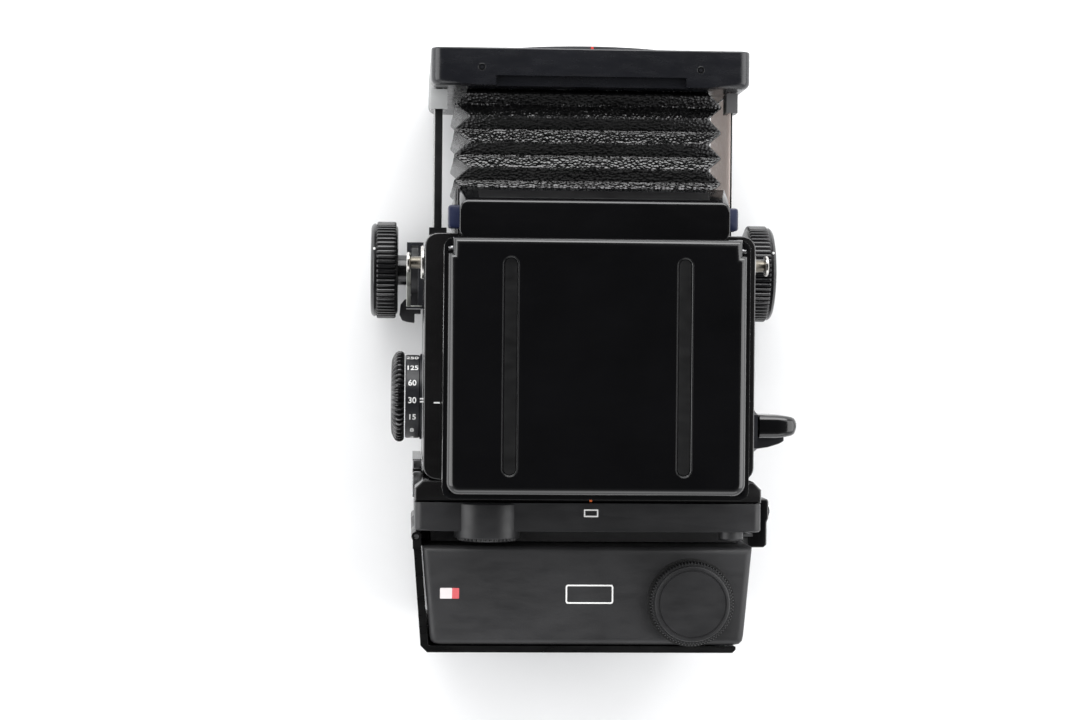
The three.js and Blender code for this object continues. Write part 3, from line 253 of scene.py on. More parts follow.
# Painted light: the pale printed face also shines faintly, standing in for light bounced into the gap beside
# the bellows.
printed_plate = painted("printed_plate", (0.90, 0.78, 0.72), 0.4, mottle=0.06,
                        painted_glow=((0.95, 0.82, 0.76), 0.22))
frosted = painted("frosted", (0.36, 0.365, 0.365), 0.22, mottle=0.3)
bracket_grey = painted("bracket_grey", (0.09, 0.09, 0.092), 0.3, mottle=0.2)
bellows_leather = leather("bellows_leather", (0.0012, 0.0012, 0.0013), 0.2, cell=1000, relief=1.0, wave=0.02,
                          specular=1.0)
chrome = metal("chrome", (0.72, 0.72, 0.73), 0.12)
steel = metal("steel", (0.36, 0.36, 0.37), 0.3)
clear_glass = glass("clear_glass", (0.92, 0.95, 0.96), 0.05)
lid_black = painted("lid_black", (0.0016, 0.0016, 0.0019), 0.12, grain=700, relief=0.01, specular=0.9)
groove_black = painted("groove_black", (0.0032, 0.0032, 0.0034), 0.36, grain=2200, relief=0.2)
standard_black = painted("standard_black", (0.0045, 0.0048, 0.0064), 0.26, grain=2600, relief=0.01,
                         specular=0.7)
plate_black = painted("plate_black", (0.003, 0.003, 0.0033), 0.35, grain=2600, relief=0.1)
lug_steel = metal("lug_steel", (0.62, 0.60, 0.57), 0.2)
lug_brass = metal("lug_brass", (0.17, 0.155, 0.13), 0.3)
shoe_grey = metal("shoe_grey", (0.42, 0.43, 0.40), 0.35)
housing_black = painted("housing_black", (0.0018, 0.0018, 0.0021), 0.15, grain=900, relief=0.02, specular=0.8)
knob_rubber = painted("knob_rubber", (0.004, 0.004, 0.0045), 0.22, grain=2600, relief=0.1, specular=0.8)
knob_plastic = painted("knob_plastic", (0.013, 0.013, 0.0138), 0.42, grain=3200, relief=0.35)
label_white = painted("label_white", (0.62, 0.58, 0.58), 0.35, mottle=0.06)
label_red = painted("label_red", (0.55, 0.10, 0.11), 0.35, mottle=0.06)
mirror_silver = metal("mirror_silver", (0.86, 0.87, 0.88), 0.03, (1, 1, 1), 0.01)


# ---------- CAD pieces that show as they are ----------
def smoothing():
    """A node group that shades a mesh smooth, apart from edges sharper than 30 degrees."""
    group = bpy.data.node_groups.new("smooth_shading", "GeometryNodeTree")
    for way in ("INPUT", "OUTPUT"):
        group.interface.new_socket("Geometry", in_out=way, socket_type="NodeSocketGeometry")
    nodes, link = group.nodes, group.links.new
    start, end = nodes.new("NodeGroupInput"), nodes.new("NodeGroupOutput")
    angle = nodes.new("GeometryNodeInputMeshEdgeAngle")
    sharp = nodes.new("FunctionNodeCompare")
    sharp.operation = "GREATER_THAN"
    sharp.inputs[1].default_value = math.radians(30)
    faces, edges = nodes.new("GeometryNodeSetShadeSmooth"), nodes.new("GeometryNodeSetShadeSmooth")
    faces.domain, edges.domain = "FACE", "EDGE"
    faces.inputs["Shade Smooth"].default_value = True
    edges.inputs["Shade Smooth"].default_value = False
    link(start.outputs[0], faces.inputs["Geometry"])
    link(faces.outputs[0], edges.inputs["Geometry"])
    link(angle.outputs["Unsigned Angle"], sharp.inputs[0])
    link(sharp.outputs[0], edges.inputs["Selection"])
    link(edges.outputs[0], end.inputs[0])
    return group


shading = smoothing()


def softened(obj, width, steps=3):
    """Bevels the sharp edges by width millimetres, unless it is 0, and smooths the shading."""
    if width:
        edge = obj.modifiers.new("soft_edges", "BEVEL")
        edge.width, edge.segments = width * MM, steps
        edge.limit_method, edge.angle_limit = "ANGLE", SHARP
        edge.use_clamp_overlap = True
    obj.modifiers.new("smooth_shading", "NODES").node_group = shading
    return obj


def dress(material, width, *names):
    """Gives CAD pieces a material and softens their edges; their shape stays the CAD's."""
    for name in names:
        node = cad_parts[name]
        if not node.material_slots:
            node.data.materials.append(material)
        else:
            for place in node.material_slots:
                place.link, place.material = "OBJECT", material
        softened(node, width)


# ---------- Shapes ----------
def shown(name, bm, material, body, stands_for=(), edge=0.0, steps=3):
    """A finished piece from a bmesh in millimetres, riding on a body."""
    bmesh.ops.recalc_face_normals(bm, faces=bm.faces)
    bmesh.ops.scale(bm, vec=(MM, MM, MM), verts=bm.verts)
    mesh = bpy.data.meshes.new(name)
    bm.to_mesh(mesh)
    bm.free()
    mesh.materials.append(material)
    piece = bpy.data.objects.new(name, mesh)
    scene.collection.objects.link(piece)
    softened(piece, edge, steps)
    if body:
        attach(piece, body)
    if stands_for:
        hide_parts(*stands_for)
    return piece


def corners(bm, ring):
    return [bm.verts.new(point) for point in ring]


def joined(bm, loops):
    """Faces between each loop of vertices and the next; all have equally many."""
    for low, high in zip(loops, loops[1:]):
        for i in range(len(low)):
            j = (i + 1) % len(low)
            bm.faces.new((low[i], low[j], high[j], high[i]))


def skin(bm, rings, looped=False):
    """Joins rings of equally many points; the ends are capped, or the last ring meets the first."""
    loops = [corners(bm, ring) for ring in rings]
    joined(bm, loops + loops[:1] if looped else loops)
    if not looped:
        bm.faces.new(loops[0])
        bm.faces.new(loops[-1])


def rim_edges(bm, loop):
    return [bm.edges.get(pair) for pair in zip(loop, loop[1:] + loop[:1])]


def to_axis(axis, along, u, v):
    """A point from its distance along an axis and its two coordinates across it."""
    return {"x": (along, u, v), "y": (u, along, v), "z": (u, v, along)}[axis]


def turned(bm, axis, centre, profile, steps=64, ripple=None, looped=False):
    """Turns a profile of (along, radius) about an axis through centre, the two coordinates across it."""
    rings = []
    for along, radius in profile:
        ring = []
        for i in range(steps):
            angle = TURN * i / steps
            r = radius + (ripple(i, along, radius) if ripple else 0)
            u, v = centre[0] + r * math.cos(angle), centre[1] + r * math.sin(angle)
            ring.append(to_axis(axis, along, u, v))
        rings.append(ring)
    skin(bm, rings, looped)


def rounded(u, v, radius, steps=6):
    """Points round a rectangle between u and v pairs, with round corners."""
    points = []
    for cu, cv, start in (
        (u[1] - radius, v[1] - radius, 0),
        (u[0] + radius, v[1] - radius, 1),
        (u[0] + radius, v[0] + radius, 2),
        (u[1] - radius, v[0] + radius, 3),
    ):
        for i in range(steps + 1):
            angle = math.pi / 2 * (start + i / steps)
            points.append((cu + radius * math.cos(angle), cv + radius * math.sin(angle)))
    return points


def prism(bm, axis, outline, low, high):
    """An outline across the axis, drawn out from low to high along it."""
    skin(bm, [[to_axis(axis, at, u, v) for u, v in outline] for at in (low, high)])


def frame_of(bm, axis, outer, inner, low, high):
    """A flat ring between two outlines of equally many points."""
    rings = [(outer, low), (outer, high), (inner, high), (inner, low)]
    skin(bm, [[to_axis(axis, at, u, v) for u, v in outline] for outline, at in rings], looped=True)


def box_of(name):
    """A CAD node's (low, high) pair along each axis, in millimetres."""
    low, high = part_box(name)
    return [(low[i] / MM, high[i] / MM) for i in range(3)]


def lettering(bm, text, size, place):
    """Raised characters; place turns a text point (right, up, out), centred, into millimetres."""
    curve = bpy.data.curves.new("characters", "FONT")
    curve.body, curve.size = text, size
    curve.align_x, curve.align_y = "CENTER", "CENTER"
    curve.extrude, curve.resolution_u, curve.offset = 0.02, 3, 0.04
    holder = bpy.data.objects.new("characters", curve)
    scene.collection.objects.link(holder)
    mesh = bpy.data.meshes.new_from_object(holder)
    for vertex in mesh.vertices:
        vertex.co = place(*vertex.co)
    bm.from_mesh(mesh)
    bpy.data.objects.remove(holder)
    bpy.data.curves.remove(curve)
    bpy.data.meshes.remove(mesh)


def refined(name, node, body, material, roundings):
    """A CAD node's shape with chosen sharp edges rounded: (test of a point, width, steps) for each rounding.

    An edge is chosen when its two ends and its middle all pass the test.
    """
    bm = bmesh.new()
    bm.from_mesh(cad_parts[node].data)
    bmesh.ops.scale(bm, vec=(1 / MM, 1 / MM, 1 / MM), verts=bm.verts)
    bmesh.ops.remove_doubles(bm, verts=bm.verts, dist=0.002)
    bmesh.ops.dissolve_limit(bm, angle_limit=math.radians(0.5), verts=bm.verts, edges=bm.edges)
    for test, width, steps in roundings:
        sharp = []
        for edge in bm.edges:
            ends = [vertex.co for vertex in edge.verts]
            points = ends + [(ends[0] + ends[1]) / 2]
            if edge.calc_face_angle(0) > SHARP and all(test(*point) for point in points):
                sharp.append(edge)
        bmesh.ops.bevel(
            bm, geom=sharp, offset=width, segments=steps, profile=0.5, affect="EDGES", clamp_overlap=True
        )
    return shown(name, bm, material, body, [node])


def near(a, b):
    return abs(a - b) < 0.05


def tint(bm, index, test):
    """Gives the faces whose middle passes the test the piece's material of that index."""
    for face in bm.faces:
        if test(*face.calc_center_median()):
            face.material_index = index


def wire(bm, path, radius, steps=10):
    """A round wire along points that lie in one level plane."""
    rings = []
    for i, point in enumerate(path):
        before, after = Vector(path[max(i - 1, 0)]), Vector(path[min(i + 1, len(path) - 1)])
        way = (after - before).normalized()
        aside = Vector((way.y, -way.x, 0))
        turns = [TURN * k / steps for k in range(steps)]
        up = Vector((0, 0, 1))
        rings.append([Vector(point) + radius * (math.cos(t) * aside + math.sin(t) * up) for t in turns])
    skin(bm, rings)


# ---------- Body, front plate, hood and film back ----------
def body_and_front():
    top = box_of("body_shell")[2][1]
    nose = box_of("body_shell")[1][1]
    refined("body_cover", "body_shell", "camera_body", body_black, [
        (lambda x, y, z: near(z, top) and (abs(x) > 39 or y > 39), 3.8, 7),
        (lambda x, y, z: y > nose - 0.1 and z < top - 1, 0.8, 3),
    ])
    _, (rear, front), (low, high) = box_of("front_plate")
    middle = (low + high) / 2
    refined("front_panel", "front_plate", "front_standard", standard_black, [
        (lambda x, y, z: near(y, front) and (abs(x) > 43 or abs(z - middle) > 43), 2.4, 6),
        (lambda x, y, z: near(y, rear) and abs(x) > 44.6, 2.2, 5),
        (lambda x, y, z: near(y, rear) and abs(z - middle) > 43.9, 0.9, 3),
        (lambda x, y, z: near(y, front), 0.4, 2),
    ])


def hood_and_back():
    hood_top = box_of("hood_base")[2][1]
    refined("hood_walls", "hood_base", "camera_body", gloss_black, [
        (lambda x, y, z: near(z, hood_top) and (abs(x) > 41 or y < -35 or y > 34), 0.9, 3),
    ])
    low, high = box_of("holder_shell")[2]
    knob_x, knob_y = (sum(span) / 2 for span in box_of("advance_knob")[:2])
    refined("holder_case", "holder_shell", "revolving_back", back_plastic, [
        (lambda x, y, z: near(z, high) and math.hypot(x - knob_x, y - knob_y) > 5, 2.4, 7),
        (lambda x, y, z: near(z, low), 1.2, 3),
    ])
    foot, head = box_of("back_door")[2]
    refined("door_panel", "back_door", "door", door_black, [
        (lambda x, y, z: near(z, head) or near(z, foot), 1.0, 3),
        (lambda x, y, z: y < -80, 0.8, 3),
    ])
    rear = box_of("adapter_plate")[1][0]
    rim = 104.5  # the adapter's upper edge, below the boss of the release dial
    refined("adapter_case", "adapter_plate", "revolving_back", adapter_black, [
        (lambda x, y, z: abs(x) > 49 and near(y, rear), 2.6, 5),
        (lambda x, y, z: near(z, rim), 0.9, 4),
    ])
    frame_top = box_of("rear_frame")[2][1]
    refined("frame_rear", "rear_frame", "camera_body", body_black, [
        (lambda x, y, z: near(z, frame_top), 0.8, 3),
    ])


body_and_front()
hood_and_back()


# ---------- Bellows ----------
BELLOWS_FROM, BELLOWS_TO = 53.0, 84.2  # the nose's front face and the front plate's rear face
PLEATS = 4
PLEAT = (BELLOWS_TO - BELLOWS_FROM) / PLEATS
PLEAT_DEPTH = 3.4
SIDE_SWELL = 1.1  # how far the side ridges stand out past the top ones
PLEAT_START = 0.4  # where the first fold falls within one pleat


def fold(y):
    """0 where the bellows' top is low and its sides stand out, 1 where the top is high, the sides in."""
    phase = ((y - BELLOWS_FROM) / PLEAT - PLEAT_START) % 1
    ramp = 1 - abs(2 * phase - 1)
    return 0.9 * ramp + 0.1 * (0.5 - 0.5 * math.cos(math.pi * ramp))


def bellows_ring(y, x1, z0, z1, across=22, corner_steps=4):
    """One section of the bellows: the long runs between its corners are subdivided and bow a little."""
    share = fold(y)
    ends = max(0.0, min(1.0, (y - BELLOWS_FROM) / 1.5, (BELLOWS_TO - y) / 1.5))
    side_in = PLEAT_DEPTH - (PLEAT_DEPTH + SIDE_SWELL) * ends * (1 - share)
    top_in = PLEAT_DEPTH * (1 - ends * share)
    bow = 0.3 * ends * (share - 0.5)
    outline = rounded((side_in - x1, x1 - side_in), (z0 + top_in, z1 - top_in), 0.8, corner_steps)
    ring = []
    for i, start in enumerate(outline):
        end = outline[(i + 1) % len(outline)]
        run = i % (corner_steps + 1) == corner_steps
        steps = across if run else 1
        for k in range(steps):
            t = k / steps
            u, v = (a + (b - a) * t for a, b in zip(start, end))
            if run:
                swell = bow * math.sin(math.pi * t) + 0.04 * ends * math.sin(17 * t + 2.3 * y)
                if abs(end[0] - start[0]) > abs(end[1] - start[1]):
                    v += math.copysign(swell, v - (z0 + z1) / 2)
                else:
                    u -= math.copysign(swell, u)
            ring.append((u, y, v))
    return ring


def bellows():
    (_, x1), (y0, y1), (z0, z1) = box_of("bellows")
    stations = PLEATS * 14
    pleated = [BELLOWS_FROM + (BELLOWS_TO - BELLOWS_FROM) * i / stations for i in range(stations + 1)]
    ys = [y0 + 0.2] + pleated + [y1 - 0.2]
    outside = [bellows_ring(y, x1, z0, z1) for y in ys]
    middle = (z0 + z1) / 2
    thin = 0.975
    inside = [[(x * thin, y, middle + (z - middle) * thin) for x, y, z in ring] for ring in reversed(outside)]
    bm = bmesh.new()
    skin(bm, outside + inside, looped=True)
    piece = shown("bellows_skin", bm, bellows_leather, None, ["bellows"])
    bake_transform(piece)


bellows()


# ---------- Hood lid ----------
def lid_outline(inset):
    """Round rear corners, and a front tongue that swings down between the hood's side walls."""
    (x0, x1), (y0, y1), _ = box_of("hood_lid")
    rear = [point for point in rounded((x0 + inset, x1 - inset), (y0 + inset, y1 - inset), 3.6 - inset, 8)
            if point[1] < 0]
    rear.sort(key=lambda point: math.atan2(point[1], point[0]))
    tongue, notch = 41.8 - inset, 32.4 - inset
    return rear + [(x1 - inset, notch), (tongue, notch), (tongue, y1 - inset),
                   (-tongue, y1 - inset), (-tongue, notch), (x0 + inset, notch)]


def groove(bm, x, top, half_width=2.45, half_length=31.75):
    """A groove along the lid, with its floor in the second material; returns its rim's edges."""
    loops = []
    for grow, drop in ((0.0, 0.0), (-0.1, -0.18), (-0.45, -0.5), (-0.75, -0.55)):
        across, along = half_width + grow, half_length + grow
        outline = rounded((x - across, x + across), (-along, along), across - 0.01, 10)
        loops.append(corners(bm, [(u, v, top + drop) for u, v in outline]))
    joined(bm, loops)
    bm.faces.new(loops[-1]).material_index = 1
    return rim_edges(bm, loops[0])


def lid():
    top = box_of("hood_lid")[2][1]
    under = top - 2.5
    edge = 2.2
    sections = [(0.6, under), (0.15, under + 0.1), (0.0, under + 0.3)]
    for i in range(1, 7):
        angle = math.pi / 2 * i / 6
        sections.append((1.15 * edge * (1 - math.cos(angle)), top - edge * (1 - math.sin(angle))))
    bm = bmesh.new()
    loops = [corners(bm, [(u, v, z) for u, v in lid_outline(inset)]) for inset, z in sections]
    joined(bm, loops)
    bm.faces.new(loops[0])
    top_edges = rim_edges(bm, loops[-1])
    for x in (-25.1, 25.1):
        top_edges += groove(bm, x, top)
    bmesh.ops.triangle_fill(bm, edges=top_edges, use_beauty=True)
    cover = shown("lid_cover", bm, lid_black, "lid", ["hood_lid"])
    cover.data.materials.append(groove_black)
    _, pin_y, pin_z = (sum(span) / 2 for span in box_of("hood_hinge_pin"))
    knuckles = bmesh.new()
    for x in (-26, 26):
        turned(knuckles, "x", (pin_y, pin_z), [(x - 3, 1.45), (x + 3, 1.45)], 24)
        strap = [(pin_y - 1.2, pin_z + 0.2), (pin_y + 1.2, pin_z + 0.2),
                 (pin_y + 1.2, pin_z + 1.6), (pin_y - 1.2, pin_z + 1.6)]
        prism(knuckles, "x", strap, x - 3, x + 3)
    shown("lid_knuckles", knuckles, steel, "lid", edge=0.15)


lid()


# ---------- Front housing ----------
def housing():
    (x0, x1), (y0, y1), (z0, z1) = box_of("top_front_housing")
    apron = z0 + 4
    crown = y0 + 10.9
    bm = bmesh.new()
    rings = []
    for z, front, inset, corner in (
        (z0, y1, 0.3, 0.7),
        (z0 + 0.4, y1, 0, 0.8),
        (apron, y1, 0, 0.8),
        (z1 - 0.5, crown + 0.2, 0, 2.4),
        (z1 - 0.25, crown + 0.05, 0.05, 2.4),
        (z1 - 0.07, crown - 0.15, 0.2, 2.3),
        (z1, crown - 0.45, 0.5, 2.0),
    ):
        outline = rounded((x0 + inset, x1 - inset), (y0, front - inset), corner, 8)
        rings.append([(u, v, z) for u, v in outline])
    skin(bm, rings)
    shown("housing_cover", bm, housing_black, "camera_body", ["top_front_housing"])
    panel = bmesh.new()
    rise, run = z1 - apron, y1 - crown
    outline = rounded((-34, 34), (0.22, 0.78), 0.05, 4)  # across, and as a share of the slope
    points = [Vector((u, y1 - run * t, apron + rise * t)) for u, t in outline]
    normal = Vector((0, rise, run)).normalized()
    skin(panel, [[point + normal * lift for point in points] for lift in (-0.1, 0.05)])
    shown("housing_panel", panel, plate_black, "camera_body", edge=0.02, steps=1)


housing()


# ---------- Focusing knobs ----------
def focus_knob(sign, name):
    (x0, x1), (y0, y1), (z0, z1) = box_of(name)
    outer = max(abs(x0), abs(x1))
    inner = min(abs(x0), abs(x1))
    centre = ((y0 + y1) / 2, (z0 + z1) / 2)
    radius = (y1 - y0) / 2
    ribs = 60
    grip = (-0.75, -0.22, 0.0, 0.04, 0.0, -0.22)

    def ripple(i, along, r):
        return 1.3 * grip[i % 6] if outer - 8.3 < sign * along < outer - 1.9 else 0

    profile = [
        (inner, 3.4), (inner, 5.0), (outer - 8.9, 5.0), (outer - 8.9, radius - 2.4),
        (outer - 8.7, radius - 1.6),
        (outer - 8.3, radius - 1.3), (outer - 8.25, radius - 0.5), (outer - 8.0, radius - 0.1),
        (outer - 7.6, radius - 0.02), (outer - 2.3, radius - 0.02), (outer - 2.0, radius - 0.25),
        (outer - 1.88, radius - 0.8), (outer - 1.7, radius - 0.75), (outer - 1.1, radius - 0.55),
        (outer - 0.5, radius - 0.95), (outer - 0.15, radius - 1.5), (outer, radius - 2.2),
        (outer, radius - 3.0), (outer - 0.4, radius - 3.3), (outer - 0.6, radius - 3.6),
        (outer - 0.6, 6.2), (outer - 0.3, 5.8), (outer - 0.3, 0.4),
    ]
    bm = bmesh.new()
    turned(bm, "x", centre, [(sign * along, r) for along, r in profile], 6 * ribs, ripple)
    shown(name + "_grip", bm, knob_rubber, "focus_drive", [name])
    dot = bmesh.new()
    angle = math.radians(24)
    cy, cz = centre[0] + radius * math.sin(angle), centre[1] + radius * math.cos(angle)
    turned(dot, "z", (sign * (outer - 1.15), cy), [(cz - 0.9, 0.42), (cz - 0.32, 0.42), (cz - 0.26, 0.3)], 16)
    shown(name + "_dot", dot, white_paint, "focus_drive")


focus_knob(-1, "focus_knob_left")
focus_knob(1, "focus_knob_right")


# ---------- Speed dial ----------
DIAL = tuple(sum(span) / 2 for span in box_of("speed_dial_ring")[1:])
SPEEDS = ("250", "125", "60", "30", "15", "8", "4", "2", "1")


def speed_dial():
    x0, x1 = box_of("speed_dial_cap")[0]
    x0 += 1.0  # the cap and the ring sit a little closer to the body than their CAD boxes do
    x1 += 0.8
    r0, r1 = box_of("speed_dial_ring")[0]
    r0 += 0.8
    ridges = 48
    wave = (0.0, -0.05, -0.5, -1.3, -1.3, -0.5)

    def ripple(i, along, r):
        share = max(0.0, min(1.0, (r - 9.6) / 2.4))
        return wave[i % 6] * share

    bm = bmesh.new()
    profile = [
        (x1, 11.0), (x1, 13.0), (x1 - 0.3, 13.6), (x1 - 1.0, 14.0), (x1 - 1.9, 14.0), (x1 - 2.6, 13.6),
        (x1 - 3.1, 13.0), (x0 + 0.75, 12.3), (x0 + 0.35, 11.4), (x0 + 0.2, 10.4), (x0 + 0.14, 9.6),
        (x0 + 0.06, 7.0), (x0 + 0.02, 4.0), (x0, 0.5),
    ]
    turned(bm, "x", DIAL, profile, 6 * ridges, ripple)
    shown("speed_dial_grip", bm, knob_rubber, "speed_dial", ["speed_dial_cap"])
    ring = bmesh.new()
    reach = 13.0
    band = [
        (r0, 9.0), (r0, reach - 0.5), (r0 + 0.3, reach - 0.15), (r1 - 1.0, reach - 0.15),
        (r1 - 0.85, reach - 0.5), (r1 - 0.7, reach + 0.2), (r1, reach + 0.2), (r1, 9.0),
    ]
    turned(ring, "x", DIAL, band, 96, looped=True)
    shown("speed_dial_scale", ring, satin_black, "speed_dial", ["speed_dial_ring"])
    marks = bmesh.new()
    middle = (r0 + r1) / 2 - 0.5
    places, uppermost = 15, SPEEDS.index("30")

    def on_ring(angle):
        def place(right, up, out):
            turn = angle + up / reach
            r = reach - 0.15 + 0.03 + out
            return middle + right, DIAL[0] + r * math.sin(turn), DIAL[1] + r * math.cos(turn)
        return place

    for i in range(places):
        text = SPEEDS[i] if i < len(SPEEDS) else "-"
        lettering(marks, text, 2.6, on_ring(TURN / places * (uppermost - i) - math.radians(4.5)))
    shown("speed_dial_numbers", marks, white_paint, "speed_dial")
    index = bmesh.new()
    for offset in (-0.45, 0.45):
        line = DIAL[0] - 0.9 + offset
        low, high = line - 0.22, line + 0.22
        stroke = [(r1 - 0.75, low), (r1 + 0.75, low), (r1 + 0.75, high), (r1 - 0.75, high)]
        prism(index, "z", stroke, DIAL[1] + reach - 1, DIAL[1] + reach + 0.27)
    shown("dial_reference", index, white_paint, "speed_dial")


speed_dial()


# ---------- Film advance knob and back release dial ----------
def advance_knob():
    (x0, x1), (y0, y1), (z0, z1) = box_of("advance_knob")
    # Painted shade: a thin near-black seat ring round the knob's base, partly a seat and partly standing in
    # for the shadow that rings the knob.
    seat_and_shade = bmesh.new()
    top = box_of("holder_shell")[2][1]
    centre = ((x0 + x1) / 2, (y0 + y1) / 2)
    lip = [(top - 0.2, 4), (top - 0.2, 13.3), (top + 0.12, 13.2), (top + 0.2, 13.0), (top + 0.2, 4)]
    turned(seat_and_shade, "z", centre, lip, 96, looped=True)
    shown("advance_seat_painted_shade", seat_and_shade, inner_black, "revolving_back")
    radius = (x1 - x0) / 2
    base = 103.3
    teeth = 80
    wave = (0.0, 0.0, -0.5, -0.5)

    def ripple(i, along, r):
        return wave[i % 4] if r > radius - 0.9 and along < z1 - 0.9 else 0

    bm = bmesh.new()
    profile = [
        (z0, 2.9), (base, 2.9), (base, radius - 1.2), (base + 0.25, radius - 0.3), (base + 0.6, radius),
        (z1 - 1.5, radius), (z1 - 1.1, radius - 0.35), (z1 - 1.05, radius - 1.2), (z1 - 0.5, radius - 1.25),
        (z1 - 0.15, radius - 1.4), (z1, radius - 1.75), (z1, radius - 2.35), (z1 - 0.25, radius - 2.45),
        (z1 - 0.25, radius - 2.75), (z1, radius - 2.85), (z1, 0.5),
    ]
    turned(bm, "z", centre, profile, 4 * teeth, ripple)
    shown("advance_grip", bm, knob_plastic, "film_advance", ["advance_knob"])


def release_dial():
    (x0, x1), (y0, y1), (z0, z1) = box_of("holder_dial")
    centre = ((x0 + x1) / 2, (z0 + z1) / 2)
    radius = (x1 - x0) / 2
    teeth = 40
    wave = (0.0, -0.1, -0.5, -0.1)

    def ripple(i, along, r):
        return wave[i % 4] if r > radius - 0.3 else 0

    bm = bmesh.new()
    profile = [
        (y1, 6.0), (y1, radius - 0.3), (y1 - 0.3, radius), (y0 + 0.5, radius), (y0 + 0.15, radius - 0.3),
        (y0, radius - 0.9), (y0, 0.5),
    ]
    turned(bm, "y", centre, profile, 4 * teeth, ripple)
    shown("release_dial_grip", bm, knob_plastic, "holder_release", ["holder_dial"])


advance_knob()
release_dial()


# ---------- Small fittings ----------
def screw(bm, at, centre, radius):
    """A socket head that faces up."""
    profile = [
        (at - 0.5, radius), (at + 0.02, radius), (at + 0.14, radius * 0.85), (at + 0.14, radius * 0.45),
        (at - 0.3, radius * 0.4),
    ]
    turned(bm, "z", centre, profile, 20)


def strap_lug(sign, node):
    (x0, x1), (y0, y1), (z0, z1) = box_of(node)
    root, tip = sorted((abs(x0), abs(x1)))
    base = (z1 - z0) / 2 + 0.5
    cy, cz = (y0 + y1) / 2, (z0 + z1) / 2
    profile = [
        (root, 0.4), (root, base), (root + 0.5, base), (root + 0.85, base - 0.35), (root + 0.9, base - 0.9),
        (root + 0.45, base - 1.3), (root + 0.4, 2.2), (root + 0.9, 1.9), (tip - 1.4, 1.75), (tip - 1.2, 2.2),
        (tip - 1.1, 2.9), (tip - 0.8, 3.1), (tip - 0.3, 3.1), (tip - 0.05, 2.8), (tip, 2.3), (tip, 0.4),
    ]
    bm = bmesh.new()
    turned(bm, "x", (cy, cz), [(sign * along, r) for along, r in profile], 48)
    tint(bm, 1, lambda x, y, z: root + 0.85 < abs(x) < tip - 1.3)
    tint(bm, 2, lambda x, y, z: abs(x) < root + 0.85 and math.hypot(y - cy, z - cz) < base - 1.0)
    piece = shown(node + "_turned", bm, lug_steel, "camera_body", [node])
    piece.data.materials.append(lug_brass)
    piece.data.materials.append(plate_black)


def shoe_rails():
    (x0, x1), (y0, y1), (_, z1) = box_of("accessory_shoe")
    bm = bmesh.new()
    prism(bm, "z", rounded((x0 - 0.02, x0 + 1.3), (y0 + 0.5, y1 - 3.2), 0.25, 2), z1 - 0.6, z1 + 0.12)
    prism(bm, "z", rounded((x0 + 1.3, x1 - 0.3), (y0 + 0.5, y0 + 0.9), 0.15, 2), z1 - 0.6, z1 + 0.1)
    shown("shoe_rails", bm, shoe_grey, "camera_body", edge=0.12)


def slide_handle():
    (x0, x1), (y0, y1), (z0, z1) = box_of("dark_slide_grip")
    waist = y0 + 9.2
    outline = [
        (x0, y0), (x1 - 1.5, y0), (x1 - 0.5, y0 + 0.9), (x1 - 0.5, waist - 1.2), (x1, waist), (x1, y1 - 0.7),
        (x1 - 0.6, y1), (x1 - 2.8, y1), (x1 - 3.2, y1 - 0.6), (x1 - 3.2, waist - 0.6), (x0, waist - 0.6),
    ]
    bm = bmesh.new()
    prism(bm, "z", outline, z0, z1)
    shown("slide_handle", bm, gloss_black, "dark_slide", ["dark_slide_grip"], edge=0.45)
    tip = box_of("dark_slide_loop")[0][1]
    height = sum(box_of("dark_slide_loop")[2]) / 2
    bm = bmesh.new()
    route = []
    for i in range(17):
        share = i / 16
        bulge = (tip - x1 + 0.05) * math.sin(math.pi * share)
        route.append((x1 - 0.5 + bulge, y1 - 0.4 - 8.2 * share, height))
    wire(bm, route, 0.42)
    shown("slide_loop", bm, chrome, "dark_slide", ["dark_slide_loop"])


def cocking_finger():
    (x0, x1), (y0, y1), (z0, z1) = box_of("cocking_lever_grip")
    bm = bmesh.new()
    rings = []
    for x, shrink in ((x0, 0.5), (x0 + 0.4, 0.0), (x0 + 6, 0.05), (x1 - 3.5, 0.35), (x1 - 1.6, 0.75),
                      (x1 - 0.7, 1.25), (x1 - 0.15, 2.1), (x1, 2.8)):
        outline = rounded((y0 + shrink, y1 - shrink * 0.8), (z0 + shrink, z1 - shrink), 2.0, 6)
        rings.append([(x, u, v) for u, v in outline])
    skin(bm, rings)
    shown("cocking_finger", bm, gloss_black, "cocking_lever", ["cocking_lever_grip"])
    heel = bmesh.new()
    rings = []
    for x, drop, reach in ((x0 - 4.0, 3.9, 1.2), (x0, 3.7, 1.2), (x0 + 4, 3.1, 1.0), (x0 + 7.5, 2.0, 0.7),
                           (x0 + 9, 1.1, 0.4)):
        outline = rounded((y0 - drop, y0 + 0.4), (z0 + 2 - reach, z1 - 7), 0.35, 3)
        rings.append([(x, u, v) for u, v in outline])
    skin(heel, rings)
    shown("cocking_heel", heel, satin_black, "cocking_lever", edge=0.2)


